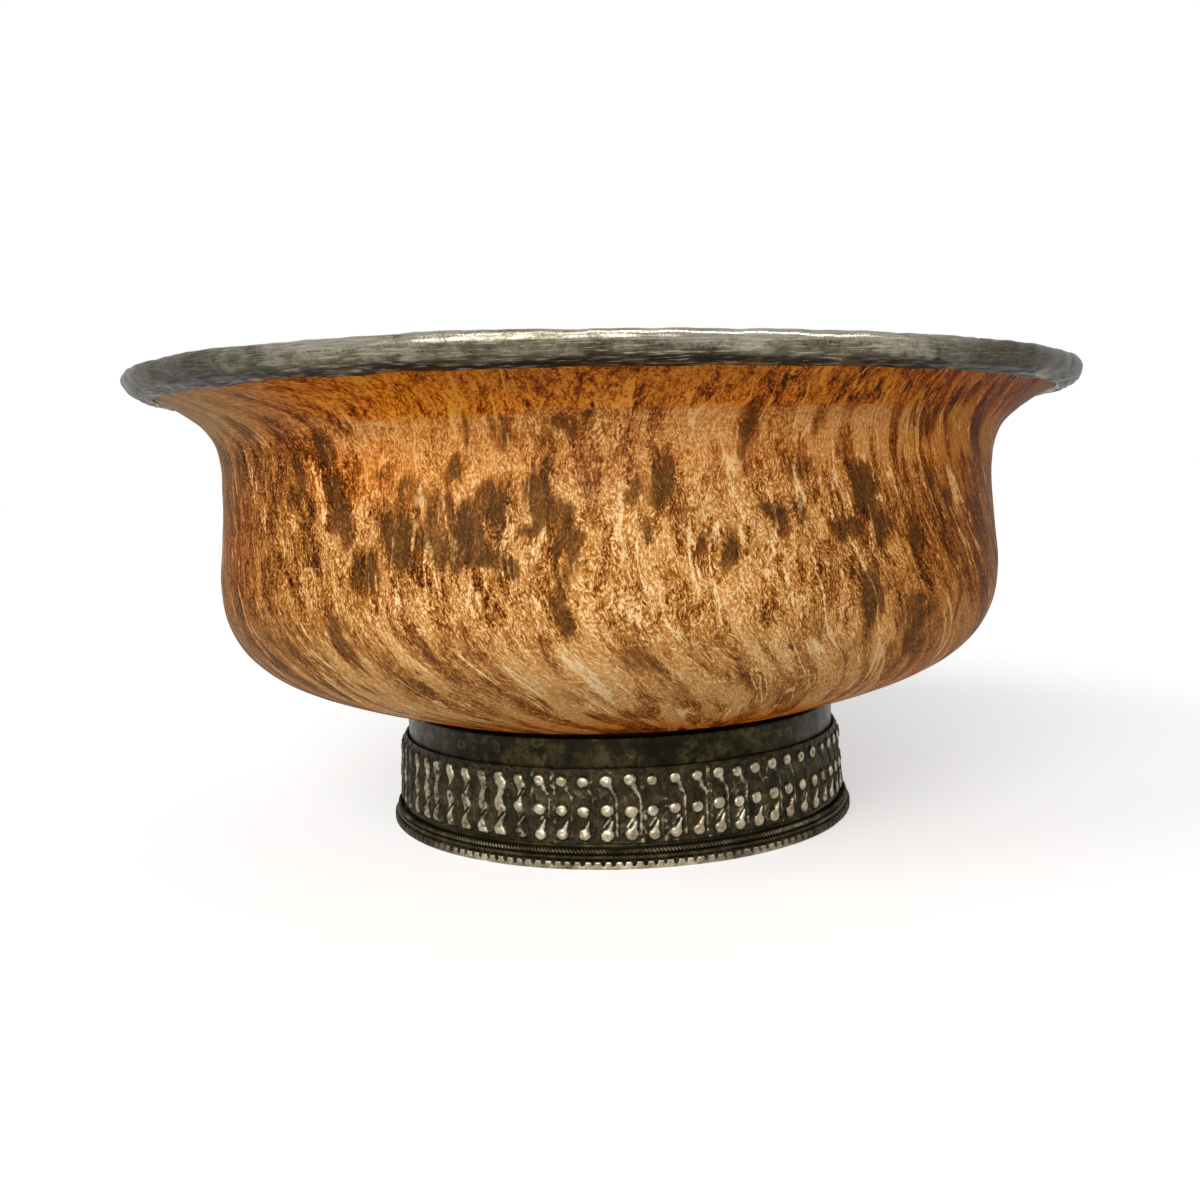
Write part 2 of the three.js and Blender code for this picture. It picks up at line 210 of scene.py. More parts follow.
def fine_outline(outline, spacing, sharp=math.radians(50)):
    """The outline with points a spacing apart, smooth between its sharp corners. A corner between a long edge
    and a short one counts as sharp too, so that the long one stays straight. spacing is a length, or a
    function that gives one for the middle of each stretch."""
    closed = outline[0, 0] > NEAR
    points = np.vstack([outline, outline[:1]]) if closed else outline
    way = np.diff(points, axis=0)
    heading = np.arctan2(way[:, 1], way[:, 0])
    bend = np.abs((np.diff(heading) + math.pi) % TURN - math.pi)
    length = np.hypot(way[:, 0], way[:, 1])
    unlike = np.abs(np.log(length[1:] / length[:-1])) > math.log(UNLIKE_EDGES)
    corners = [0, *(np.nonzero((bend > sharp) | unlike)[0] + 1), len(points) - 1]
    stretches = []
    for start, end in zip(corners[:-1], corners[1:]):
        stretch = points[start:end + 1]
        step = spacing(stretch.mean(axis=0)) if callable(spacing) else spacing
        stretches.append(rounded(stretch, step)[:-1])
    if not closed:
        stretches.append(points[-1:])
    return np.vstack(stretches)


def outward(outline):
    """The unit vector that points out of the metal or wood at each point of an outline."""
    closed = outline[0, 0] > NEAR
    if closed:
        along = np.roll(outline, -1, axis=0) - np.roll(outline, 1, axis=0)
    else:
        along = np.gradient(outline, axis=0)
    along /= np.maximum(np.hypot(along[:, 0], along[:, 1]), NEAR)[:, None]
    return np.stack([along[:, 1], -along[:, 0]], axis=1)


# Uneven hand work

def angles(columns):
    """The columns' angles from the front, from the back round to the back, increasing towards +X at the
    front."""
    return np.arange(columns) * (TURN / columns) - math.pi


def uneven(seed, angle, height, cells_around, cell_height, layers=1):
    """Smooth random values between -1 and 1. Random values stand on a lattice that closes round the bowl,
    with a row for each cell_height, and between them the value follows a smooth step. Each further layer has
    half the cells' size and half the strength."""
    rng = np.random.default_rng(seed)
    total = 0
    weight = 0
    for layer in range(layers):
        fineness = 2**layer
        cells = cells_around * fineness
        u = (angle / TURN % 1) * cells
        v = (height - height.min()) / cell_height * fineness
        lattice = rng.uniform(-1, 1, (int(v.max()) + 3, cells))
        i, j = v.astype(int), u.astype(int) % cells
        p, q = smooth_step(0, 1, v - i), smooth_step(0, 1, u - np.floor(u))
        low = lattice[i, j] * (1 - q) + lattice[i, (j + 1) % cells] * q
        high = lattice[i + 1, j] * (1 - q) + lattice[i + 1, (j + 1) % cells] * q
        total = total + (low * (1 - p) + high * p) / fineness
        weight += 1 / fineness
    return total / weight


def settle(x, y, z):
    """The old bowl stands a little out of true. The wood has moved towards the left, the foot a little to the
    right, and the lip has sunk on the right."""
    tilt = LIP_TILT * smooth_step(50, 61, z)
    return x + np.interp(z, SHIFT_HEIGHTS, SHIFTS), y, z - tilt * x


# Meshes

def ring_faces(rows, columns, poles):
    """The corners of all faces between rows of points, and how many corners each face has. With poles, the
    first and last rows are one point each. Without them, the last row joins the first."""
    number = np.arange(rows * columns).reshape(rows, columns)
    if poles:
        number[1:-1] = np.arange((rows - 2) * columns).reshape(rows - 2, columns) + 1
        number[0], number[-1] = 0, (rows - 2) * columns + 1
    below, above = (number[:-1], number[1:]) if poles else (number, np.roll(number, -1, axis=0))
    quads = np.stack([below, np.roll(below, -1, axis=1), np.roll(above, -1, axis=1), above], axis=-1)
    if not poles:
        return quads.ravel(), np.full(rows * columns, 4)
    first, last = quads[0][:, [0, 2, 3]], quads[-1][:, [0, 1, 2]]
    corners = np.concatenate([first.ravel(), quads[1:-1].ravel(), last.ravel()])
    return corners, np.repeat([3, 4, 3], [columns, (rows - 3) * columns, columns])


def by_vertex(values, rows, columns, poles):
    """Values given for each row and column, as one line of numbers for each vertex of the mesh."""
    full = np.broadcast_to(values, (rows, columns) + np.shape(values)[2:])
    if not poles:
        return full.reshape(rows * columns, -1)
    inner = full[1:-1].reshape((rows - 2) * columns, -1)
    return np.vstack([full[0].mean(axis=0).reshape(1, -1), inner, full[-1].mean(axis=0).reshape(1, -1)])


def turned(name, radius, height, node, slot, material, **values):
    """A surface of rings. Row i and column j stand at radius[i, j] and height[i, j], in the direction of the
    j-th of equal angles. It has poles where the first row lies on the axis. Each of values becomes an
    attribute of the mesh, with one number or vector for each point."""
    rows, columns = radius.shape
    poles = radius[0].max() < NEAR
    angle = angles(columns)
    x, y, z = settle(radius * np.sin(angle), -radius * np.cos(angle), height)
    vertices = by_vertex(np.stack([x, y, z], axis=-1) * MM, rows, columns, poles)
    corners, sizes = ring_faces(rows, columns, poles)
    mesh = bpy.data.meshes.new(name)
    mesh.vertices.add(len(vertices))
    mesh.vertices.foreach_set("co", vertices.astype(np.float32).ravel())
    mesh.loops.add(len(corners))
    mesh.loops.foreach_set("vertex_index", corners.astype(np.int32))
    mesh.polygons.add(len(sizes))
    mesh.polygons.foreach_set("loop_start", (np.cumsum(sizes) - sizes).astype(np.int32))
    mesh.update(calc_edges=True)
    mesh.polygons.foreach_set("use_smooth", np.ones(len(sizes), bool))
    for label, value in values.items():
        kind, field = ("FLOAT_VECTOR", "vector") if np.ndim(value) == 3 else ("FLOAT", "value")
        flat = by_vertex(value, rows, columns, poles).astype(np.float32).ravel()
        mesh.attributes.new(label, kind, "POINT").data.foreach_set(field, flat)
    mesh.materials.append(material)
    piece = placed(name, mesh)
    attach(piece, "root")
    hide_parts(node)
    return piece


def pushed(outline, push):
    """Rings of the outline's points, each moved out of the surface by push[i, j]."""
    normal = outward(outline)
    return outline[:, :1] + normal[:, :1] * push, outline[:, 1:] + normal[:, 1:] * push


# Shader graphs

class Graph:
    """Adds nodes to a material's or a group's tree, and links what they take."""

    def __init__(self, tree):
        self.tree = tree

    def fill(self, socket, value):
        """Gives a socket what it takes: another socket, a number, a vector, a colour as for tint, or None to
        leave it alone."""
        if isinstance(value, bpy.types.NodeSocket):
            self.tree.links.new(value, socket)
        elif value is not None:
            socket.default_value = tint(value) if isinstance(value, str) else value

    def add(self, kind, *inputs, **settings):
        """A new node. inputs fill its inputs in the node's order. A setting with an input's name goes to that
        input, and any other is the node's own."""
        node = self.tree.nodes.new("ShaderNode" + kind)
        for key in [key for key in settings if hasattr(node, key)]:
            setattr(node, key, settings.pop(key))
        for socket, value in zip(node.inputs, inputs):
            self.fill(socket, value)
        for key, value in settings.items():
            self.fill(node.inputs[key], value)
        return node

    def math(self, operation, a, b=None, c=None, clamp=False):
        return self.add("Math", a, b, c, operation=operation, use_clamp=clamp).outputs[0]

    def times(self, a, b):
        return self.math("MULTIPLY", a, b)

    def total(self, start, *parts):
        """start, plus each value of the parts times its weight."""
        for value, weight in parts:
            start = self.math("MULTIPLY_ADD", value, weight, start)
        return start

    def towards(self, value, goal, share):
        """value, moved towards the goal by a share of the way."""
        return self.math("MULTIPLY_ADD", self.math("SUBTRACT", goal, value), share, value)

    def vector(self, operation, a, b=None):
        return self.add("VectorMath", a, b, operation=operation).outputs[0]

    def span(self, value, low, high, to_low=0.0, to_high=1.0):
        """value from low to high becomes to_low to to_high, on a smooth climb that stops at both ends."""
        node = self.add("MapRange", value, low, high, to_low, to_high, interpolation_type="SMOOTHSTEP")
        return node.outputs[0]

    def noise(self, place, scale, detail=2.0, roughness=0.5, distortion=0.0):
        return self.add("TexNoise", Vector=place, Scale=scale, Detail=detail, Roughness=roughness,
                        Distortion=distortion)

    def uneven(self, place, scale, detail, roughness):
        """Smooth random values about 0, up to about 0.25 either way, with scale cells to a millimetre each
        way."""
        stretched = self.vector("MULTIPLY", place, scale)
        return self.math("SUBTRACT", self.noise(stretched, 1.0, detail, roughness).outputs[0], 0.5)

    def mix(self, share, a, b, blend="MIX"):
        """Colour a, with share of colour b laid over it."""
        node = self.add("Mix", data_type="RGBA", blend_type=blend, clamp_factor=True)
        for name, value in (("Factor_Float", share), ("A_Color", a), ("B_Color", b)):
            self.fill(next(s for s in node.inputs if s.identifier == name), value)
        return next(s for s in node.outputs if s.identifier == "Result_Color")

    def ramp(self, value, *stops):
        """A colour for each value, from stops of (value, colour written as for tint)."""
        node = self.add("ValToRGB", value)
        while len(node.color_ramp.elements) < len(stops):
            node.color_ramp.elements.new(0.5)
        for element, (place, shade) in zip(node.color_ramp.elements, stops):
            element.position = place
            element.color = tint(shade)
        return node.outputs[0]

    def attribute(self, name, output="Fac"):
        return self.add("Attribute", attribute_name=name).outputs[output]

    def place(self):
        """Where a point is, in millimetres."""
        return self.vector("MULTIPLY", self.add("TexCoord").outputs["Object"], (1 / MM,) * 3)


class Surface(Graph):
    """The graph of a new material with one Principled shader, which keeps the settings."""

    def __init__(self, name, **settings):
        self.material = bpy.data.materials.new(name)
        self.material.use_nodes = True
        super().__init__(self.material.node_tree)
        self.shader = self.tree.nodes["Principled BSDF"]
        for label, value in settings.items():
            self.fill(self.shader.inputs[label.replace("_", " ")], value)

    def finished(self, colour, roughness, metallic, height, relief):
        """The material, with what varies over it linked into its shader. relief is how far in the height
        goes, in millimetres."""
        bump = self.add("Bump", Strength=1.0, Distance=relief * MM, Height=height).outputs[0]
        varied = {"Base Color": colour, "Roughness": roughness, "Metallic": metallic, "Normal": bump}
        for label, value in varied.items():
            self.fill(self.shader.inputs[label], value)
        return self.material


def tint(code):
    """A colour written as on a screen, as the numbers that a shader takes."""
    parts = [int(code[i:i + 2], 16) / 255 for i in (0, 2, 4)]
    return (*(p / 12.92 if p <= 0.04045 else ((p + 0.055) / 1.055)**2.4 for p in parts), 1.0)


def group(name, inputs, outputs):
    """A node group with named inputs and outputs, and the graph, input node and output node to fill it
    with."""
    kinds = {"value": "NodeSocketFloat", "vector": "NodeSocketVector"}
    tree = bpy.data.node_groups.new(name, "ShaderNodeTree")
    for label, kind in inputs.items():
        tree.interface.new_socket(label, in_out="INPUT", socket_type=kinds[kind])
    for label, kind in outputs.items():
        tree.interface.new_socket(label, in_out="OUTPUT", socket_type=kinds[kind])
    take, give = tree.nodes.new("NodeGroupInput"), tree.nodes.new("NodeGroupOutput")
    return tree, Graph(tree), take.outputs, give.inputs


# Effects for the materials

def hairlines_group():
    """Fine curved scratches. Each lies where a smooth random value crosses its middle, and a second value
    breaks it into strokes."""
    tree, graph, take, give = group("hairlines", {"Place": "vector", "Spread": "value", "Width": "value"},
                                    {"Lines": "value"})
    first = graph.noise(take["Place"], take["Spread"], 1.0, 0.4, 0.6).outputs[0]
    off = graph.math("ABSOLUTE", graph.math("SUBTRACT", first, 0.5))
    line = graph.math("SUBTRACT", 1.0, graph.math("DIVIDE", off, take["Width"]), clamp=True)
    breaks = graph.noise(take["Place"], graph.times(take["Spread"], 2.3), 1.0).outputs[0]
    strokes = graph.times(line, graph.span(breaks, 0.56, 0.66))
    graph.fill(give["Lines"], strokes)
    return tree


def tarnish_group():
    """How old silver darkens: clouds of tarnish, with round spots in them. Where its Wear input is high, the
    metal is rubbed bright again, and on the rim, the band and the milled edge that input also carries painted
    light and shade. It gives the share of bare metal, the mottling and a height for the pitted surface."""
    takes = {"Place": "vector", "Scale": "value", "Spots": "value", "Wear": "value"}
    tree, graph, take, give = group("tarnish", takes, {"Bare": "value", "Mottle": "value", "Height": "value"})
    clouds = graph.noise(take["Place"], graph.times(take["Scale"], 0.3), 4.0, 0.6, 0.4).outputs[0]
    cells = graph.add("TexVoronoi", Vector=take["Place"], Scale=take["Scale"], feature="SMOOTH_F1")
    spot = graph.math("SUBTRACT", graph.span(cells.outputs["Distance"], 0.1, 0.5), 0.7)
    grain = graph.noise(take["Place"], graph.times(take["Scale"], 4.0), 3.0, 0.6).outputs[0]
    mottle = graph.math("MULTIPLY_ADD", spot, take["Spots"], clouds)
    mottle = graph.math("MULTIPLY_ADD", graph.math("SUBTRACT", grain, 0.5), 0.35, mottle)
    rubbed = graph.math("ADD", take["Wear"], graph.math("MULTIPLY_ADD", grain, 0.7, -0.35))
    graph.fill(give["Bare"], graph.span(rubbed, 0.25, 0.8))
    graph.fill(give["Mottle"], mottle)
    graph.fill(give["Height"], graph.total(graph.times(clouds, 0.6), (grain, 0.4)))
    return tree


HAIRLINES = hairlines_group()
TARNISH = tarnish_group()


def hairlines(graph, place, spread, width):
    return graph.add("Group", place, spread, width, node_tree=HAIRLINES).outputs[0]


def tarnish(graph, place, scale, spots, wear):
    return graph.add("Group", place, scale, spots, wear, node_tree=TARNISH).outputs


# Materials

# What the wood's mesh holds for each point besides its grain
WOOD_AREAS = ("dark", "pale", "orange", "side", "grey", "calm", "brushed", "deep", "receding")


def burl_figure(graph):
    """The random values that make up burl, from its finest fibres to its slowest smoke. They run along the
    mesh's grain, which a slow swirl bends, and the finest are curled as well."""
    grain = graph.attribute("grain", "Vector")
    swirl = graph.vector("SUBTRACT", graph.noise(grain, 0.13, 1.0).outputs["Color"], (0.5, 0.5, 0.5))
    curl = graph.vector("SUBTRACT", graph.noise(grain, 0.9, 0.0).outputs["Color"], (0.5, 0.5, 0.5))
    bent = graph.vector("ADD", grain, graph.vector("MULTIPLY", swirl, (3.0, 3.0, 2.0)))
    curled = graph.vector("ADD", bent, graph.vector("MULTIPLY", curl, (0.7, 0.7, 0.7)))
    elsewhere = graph.vector("ADD", bent, (31.0, 17.0, 5.0))
    farther = graph.vector("ADD", bent, (7.0, 43.0, 9.0))
    return SimpleNamespace(
        bent=bent,
        fine=graph.uneven(curled, (5.2, 5.2, 2.0), 2.0, 0.75),
        fur=graph.uneven(curled, (2.3, 2.3, 0.75), 3.0, 0.7),
        tuft=graph.uneven(bent, (0.9, 0.9, 0.3), 4.0, 0.7),
        veil=graph.uneven(bent, (0.5, 0.5, 0.14), 4.0, 0.65),
        stain=graph.uneven(elsewhere, (0.5, 0.5, 0.22), 5.0, 0.75),
        blot=graph.uneven(farther, (0.95, 0.95, 0.42), 4.0, 0.75),
        smoke=graph.uneven(bent, (0.12, 0.12, 0.07), 3.0, 0.6),
        streak=graph.uneven(bent, (2.6, 2.6, 0.13), 3.0, 0.65),
        flame=graph.uneven(bent, (0.32, 0.32, 0.07), 2.0, 0.5),
        teeth=graph.uneven(bent, (1.1, 1.1, 0.13), 2.0, 0.5),
        brush=graph.uneven(grain, (0.25, 0.25, 4.0), 2.0, 0.6),
        vein=graph.uneven(bent, (0.5, 0.5, 0.05), 0.6, 0.5),
        gap=graph.uneven(grain, (0.35, 0.35, 0.12), 3.0, 0.7),
    )


def burl_eyes(graph, bent):
    """Small dark eyes, in some of the cells that the grain's places fall into."""
    cells = graph.vector("MULTIPLY", bent, (0.3, 0.3, 0.22))
    spots = graph.add("TexVoronoi", Vector=cells, Scale=1.0).outputs
    number = graph.add("SeparateColor", spots["Color"]).outputs[0]
    return graph.times(graph.span(spots["Distance"], 0.13, 0.07), graph.math("GREATER_THAN", number, 0.55))


def burl_threads(graph, figure):
    """Bright threads. They lie where the drawn-out vein crosses its middle, broken into lengths and
    frayed."""
    off_vein = graph.math("DIVIDE", graph.math("ABSOLUTE", figure.vein), 0.035)
    line = graph.math("MULTIPLY", graph.math("SUBTRACT", 1.0, off_vein, clamp=True), 2.0, clamp=True)
    lengths = graph.times(line, graph.span(figure.gap, 0.01, 0.045))
    return graph.times(lengths, graph.span(figure.fine, -0.1, 0.1, 0.4, 1.0))


def burl_cloud(graph, figure, dark):
    """The clouds of dark wood with their ragged edges, and the halo round them."""
    ragged = graph.total(
        graph.times(figure.teeth, 1.5), (figure.tuft, 1.5), (figure.fur, 0.9), (figure.fine, 0.5))
    cloud = graph.span(graph.times(dark, graph.total(0.85, (ragged, 1.6))), 0.16, 0.62)
    return cloud, graph.span(graph.math("ADD", dark, ragged), 0.1, 0.5)


def burl_tone(graph, figure, area, cloud, halo):
    """How light the wood is. The slow changes come first and are held back at the sides and in the clouds. At
    the sides the tone is also pulled darker as painted shade, and painted light and shade lighten it in some
    places and darken it in others. The fibres, threads and eyes go over them."""
    fine, fur, tuft, flame = figure.fine, figure.fur, figure.tuft, figure.flame
    curtain = graph.span(graph.total(figure.veil, (fur, 0.35)), -0.045, 0.03)
    rust = graph.span(graph.total(figure.stain, (fur, 0.35)), -0.01, 0.07)
    blots = graph.span(graph.total(figure.blot, (fur, 0.35)), 0.04, 0.12)
    firm = graph.total(1.0, (area.calm, -0.7))
    zone = graph.span(area.orange, 0.8, 0.94)
    flames = graph.times(graph.span(flame, -0.08, 0.08, -0.5, 0.5), area.calm)
    tone = graph.total(
        0.51, (graph.times(curtain, firm), 0.27), (graph.times(rust, firm), -0.22), (blots, -0.15),
        (figure.smoke, 0.6), (tuft, 0.8), (halo, -0.15), (area.calm, 0.07), (flames, 0.7), (flame, 0.3),
        # The last weight brings in painted light and shade, lighter in some places and darker in others.
        (area.pale, 0.1), (zone, 0.12), (area.deep, -0.28))
    tone = graph.math("SMOOTH_MIN", tone, 0.8, 0.25)
    # Painted shade: at the sides the tone is pulled darker and flatter.
    tone = graph.towards(tone, 0.4, graph.times(area.side, 0.4))
    tone = graph.towards(tone, 0.22, graph.times(cloud, 0.58))
    fleck = graph.span(graph.total(fine, (area.pale, 0.03)), 0.02, 0.13)
    pore = graph.span(fine, -0.04, -0.13)
    thread = burl_threads(graph, figure)
    broad = graph.math("SUBTRACT", 1.0, area.side)
    lively = graph.total(1.0, (area.calm, -0.45))
    for value, weight in ((cloud, -0.35), (zone, -0.2), (area.side, -0.3)):
        lively = graph.times(lively, graph.total(1.0, (value, weight)))
    return graph.total(
        tone, (thread, 0.6), (graph.times(thread, zone), 0.5), (burl_eyes(graph, figure.bent), -0.35),
        (graph.times(graph.math("MINIMUM", tuft, 0.03), zone), 2.3), (graph.times(fur, zone), 1.1),
        (graph.times(fine, zone), 0.6), (graph.times(fleck, lively), 0.38), (graph.times(fur, lively), 0.6),
        (graph.times(fine, lively), 0.65), (graph.times(pore, lively), -0.12),
        (graph.times(figure.streak, broad), 0.3), (graph.times(figure.brush, area.brushed), 0.35))


def burl_wood():
    """Figured burl. Short bright fibres and threads run along the mesh's grain and swirl with it, over ragged
    clouds of dark wood, with smooth flames where the wood is calmer and a strong orange zone under the lip.
    It is painted darker and browner where it turns away at the sides, as painted shade, and painted light and
    shade lighten it in some places and darken it in others."""
    graph = Surface("burl_wood", IOR=1.45, Specular_IOR_Level=0.012)
    area = SimpleNamespace(**{name: graph.attribute(name) for name in WOOD_AREAS})
    figure = burl_figure(graph)
    cloud, halo = burl_cloud(graph, figure, area.dark)
    tone = burl_tone(graph, figure, area, cloud, halo)
    colour = graph.ramp(
        graph.total(0.04, (tone, 0.8)), (0.04, "301a0a"), (0.2, "64390f"), (0.32, "8a5723"), (0.44, "ad763a"),
        (0.56, "c9934f"), (0.7, "e8ba70"), (0.84, "f9dc9c"), (1.0, "fff2c8"))
    colour = graph.mix(area.orange, colour, "ffb23c", "MULTIPLY")
    colour = graph.mix(graph.times(area.grey, 0.35), colour, "957c5c")
    colour = graph.mix(graph.times(cloud, 0.55), colour, "4d3a22")
    # Painted shade: browner and darker where the wood turns away at the sides.
    colour = graph.mix(graph.times(area.receding, 0.36), colour, "7a5c28")
    roughness = graph.span(figure.fur, -0.2, 0.2, 0.5, 0.38)
    height = graph.total(graph.times(figure.fine, 0.5), (figure.streak, 0.5))
    return graph.finished(colour, roughness, None, height, 0.05)


def hammered_rim():
    """Hammered silver gone grey-green, brighter where hands rub its crest and almost black in its pits and
    dents. Painted light brightens its front, painted shade darkens its sides and takes their metal away, and
    its crinkled lower edge is painted near black as shade."""
    graph = Surface("hammered_rim", Specular_IOR_Level=0.1)
    place = graph.place()
    age = tarnish(graph, place, 0.8, 0.1, graph.attribute("wear"))
    pit = graph.attribute("pit")
    dull = graph.attribute("dull")
    colour = graph.ramp(age["Mottle"], (0.25, "3a3527"), (0.5, "6e6854"), (0.75, "a7a08a"))
    brown = graph.span(graph.uneven(place, (0.16, 0.16, 0.3), 3.0, 0.6), 0.0, 0.12)
    colour = graph.mix(graph.times(brown, 0.4), colour, "4a3c26")
    # Bare metal: rubbed on the crest, and painted light across the front of the rim.
    colour = graph.mix(graph.times(age["Bare"], 0.75), colour, "a39e90")
    # Near black: tarnish in the pits and dents, and painted shade on the crinkled lower edge.
    colour = graph.mix(pit, colour, "15120a")
    drawn = graph.uneven(place, (0.35, 0.35, 6.0), 3.0, 0.65)
    colour = graph.mix(graph.span(drawn, 0.03, 0.16, 0.0, 0.55), colour, "c0baa8")
    colour = graph.mix(graph.span(drawn, 0.0, -0.2, 0.0, 0.4), colour, "2f2b20")
    # Painted shade: the outer face is darkened at the rim's sides.
    colour = graph.mix(graph.times(dull, 0.75), colour, "2e2a1c")
    roughness = graph.span(age["Mottle"], 0.3, 0.7, 0.46, 0.34)
    roughness = graph.math("MULTIPLY_ADD", graph.attribute("wear"), -0.32, roughness)
    roughness = graph.math("MAXIMUM", roughness, 0.11)
    # The sides lose their metal too, as part of that painted shade.
    bright = graph.math("SUBTRACT", 1.0, dull)
    metallic = graph.times(graph.span(pit, 0.2, 0.9, 0.95, 0.05), bright)
    return graph.finished(colour, roughness, metallic, age["Height"], 0.06)


def dull_lining():
    """Sheet silver inside the bowl, dulled by use, with wiped streaks and fine scratches."""
    graph = Surface("dull_lining", Specular_IOR_Level=0.3)
    place = graph.place()
    age = tarnish(graph, place, 0.35, 0.15, 0.5)
    wiped = graph.uneven(place, (0.25, 0.25, 3.0), 3.0, 0.6)
    colour = graph.ramp(age["Mottle"], (0.3, "625c4c"), (0.5, "857f6e"), (0.72, "aaa493"))
    colour = graph.mix(graph.span(wiped, 0.0, 0.25, 0.0, 0.35), colour, "565040")
    scratch = hairlines(graph, place, 0.12, 0.006)
    colour = graph.mix(graph.times(scratch, 0.5), colour, "d8d5ca")
    height = graph.math("MULTIPLY_ADD", wiped, 0.3, age["Height"])
    roughness = graph.span(age["Mottle"], 0.3, 0.7, 0.46, 0.3)
    metallic = graph.span(age["Mottle"], 0.3, 0.6, 0.8, 1.0)
    return graph.finished(colour, roughness, metallic, height, 0.05)


def dark_silver():
    """Silver with a thick brown-grey tarnish, blotched with rings where it has been wet."""
    graph = Surface("dark_silver", Specular_IOR_Level=0.2)
    place = graph.place()
    age = tarnish(graph, place, 0.95, 0.1, 0.2)
    colour = graph.ramp(age["Mottle"], (0.28, "0e0a03"), (0.5, "211c0d"), (0.72, "463e25"))
    warp = graph.vector("MULTIPLY", graph.noise(place, 0.5, 3.0).outputs["Color"], (2.2, 2.2, 2.2))
    cells = graph.add("TexVoronoi", Vector=graph.vector("ADD", place, warp), Scale=0.42)
    cells = cells.outputs["Distance"]
    ring = graph.span(graph.math("ABSOLUTE", graph.math("SUBTRACT", cells, 0.36)), 0.1, 0.02)
    wet = graph.span(graph.noise(place, 0.16, 2.0).outputs[0], 0.5, 0.62)
    colour = graph.mix(graph.times(graph.times(ring, wet), 0.45), colour, "5a5238")
    colour = graph.mix(graph.span(cells, 0.34, 0.1, 0.0, 0.5), colour, "3d3620")
    roughness = graph.span(age["Mottle"], 0.3, 0.7, 0.5, 0.36)
    metallic = graph.span(age["Mottle"], 0.2, 0.8, 0.6, 0.9)
    return graph.finished(colour, roughness, metallic, age["Height"], 0.06)


def worn_silver():
    """The silver of the relief, the wires and the milled edge: near black in the hollows, and rubbed to a
    warm white on what stands proud. Less of that white shows at the sides of the band and the milled edge and
    at the top of the band, which is painted shade."""
    graph = Surface("worn_silver", Specular_IOR_Level=0.2)
    place = graph.place()
    age = tarnish(graph, place, 1.9, 0.12, graph.attribute("wear"))
    ground = graph.ramp(age["Mottle"], (0.25, "0f0b04"), (0.5, "2b2413"), (0.75, "50462c"))
    bright = graph.ramp(age["Mottle"], (0.25, "6b5f45"), (0.5, "a0947a"), (0.75, "ccc3ae"))
    colour = graph.mix(age["Bare"], ground, bright)
    roughness = graph.span(age["Bare"], 0.0, 1.0, 0.55, 0.3)
    metallic = graph.span(age["Bare"], 0.0, 0.6, 0.5, 1.0)
    return graph.finished(colour, roughness, metallic, age["Height"], 0.05)


def old_lac():
    """Set lac: dark red-brown, dull, with a grainy broken surface."""
    graph = Surface("old_lac")
    place = graph.place()
    lumps = graph.noise(place, 1.2, 4.0, 0.6).outputs[0]
    colour = graph.ramp(lumps, (0.3, "1c0d07"), (0.7, "4a2a1a"))
    return graph.finished(colour, graph.span(lumps, 0.3, 0.7, 0.8, 0.6), None, lumps, 0.1)


# The camera's view of the bowl, for what is placed by a pixel of the photograph

def camera_axes():
    """The camera's right, up and backward directions, from its yaw, pitch and roll."""
    ahead = np.array([math.sin(CAMERA_YAW) * math.cos(CAMERA_PITCH),
                      math.cos(CAMERA_YAW) * math.cos(CAMERA_PITCH), -math.sin(CAMERA_PITCH)])
    level = np.array([math.cos(CAMERA_YAW), -math.sin(CAMERA_YAW), 0])
    above = np.cross(level, ahead)
    right = math.cos(CAMERA_ROLL) * level + math.sin(CAMERA_ROLL) * above
    up = math.cos(CAMERA_ROLL) * above - math.sin(CAMERA_ROLL) * level
    return right, up, -ahead


def pixels(x, y, z):
    """Where points show in the photograph, across and down."""
    right, up, back = camera_axes()
    away = np.stack([x, y, z], axis=-1) - np.array(CAMERA_PLACE)
    depth = -(away @ back)
    middle = PHOTO_SIDE / 2
    return middle + FOCAL_PIXELS * (away @ right) / depth, middle - FOCAL_PIXELS * (away @ up) / depth


# The wooden bowl

FOOT_JOINT = (31, 16.5)  # the outline's corner where the wood meets the collar
GRAIN_RADIUS = 50  # of the cylinder that the grain is laid out on
NEAR_PIXEL = 0.122  # millimetres across a pixel of the photograph, where the wood is nearest
PATCH_BEND = 1.3  # how far the patches' outlines wander
BEHIND = (math.radians(80), math.radians(280))  # the wood that the photograph doesn't show
FULL_COVER = 0.2  # where a patch starts to fade and where it is gone, as shares of the way to its rim
NO_COVER = 1.9
LEAST_FACING = 0.35  # the least share of its width that a patch is taken to show

# A patch of the wood's figure: its middle in the photograph's pixels, its half width and half height in
# pixels as seen, how far it leans to the left of upright in degrees, and how strong it is.
Patch = namedtuple("Patch", "across down wide tall lean strength")

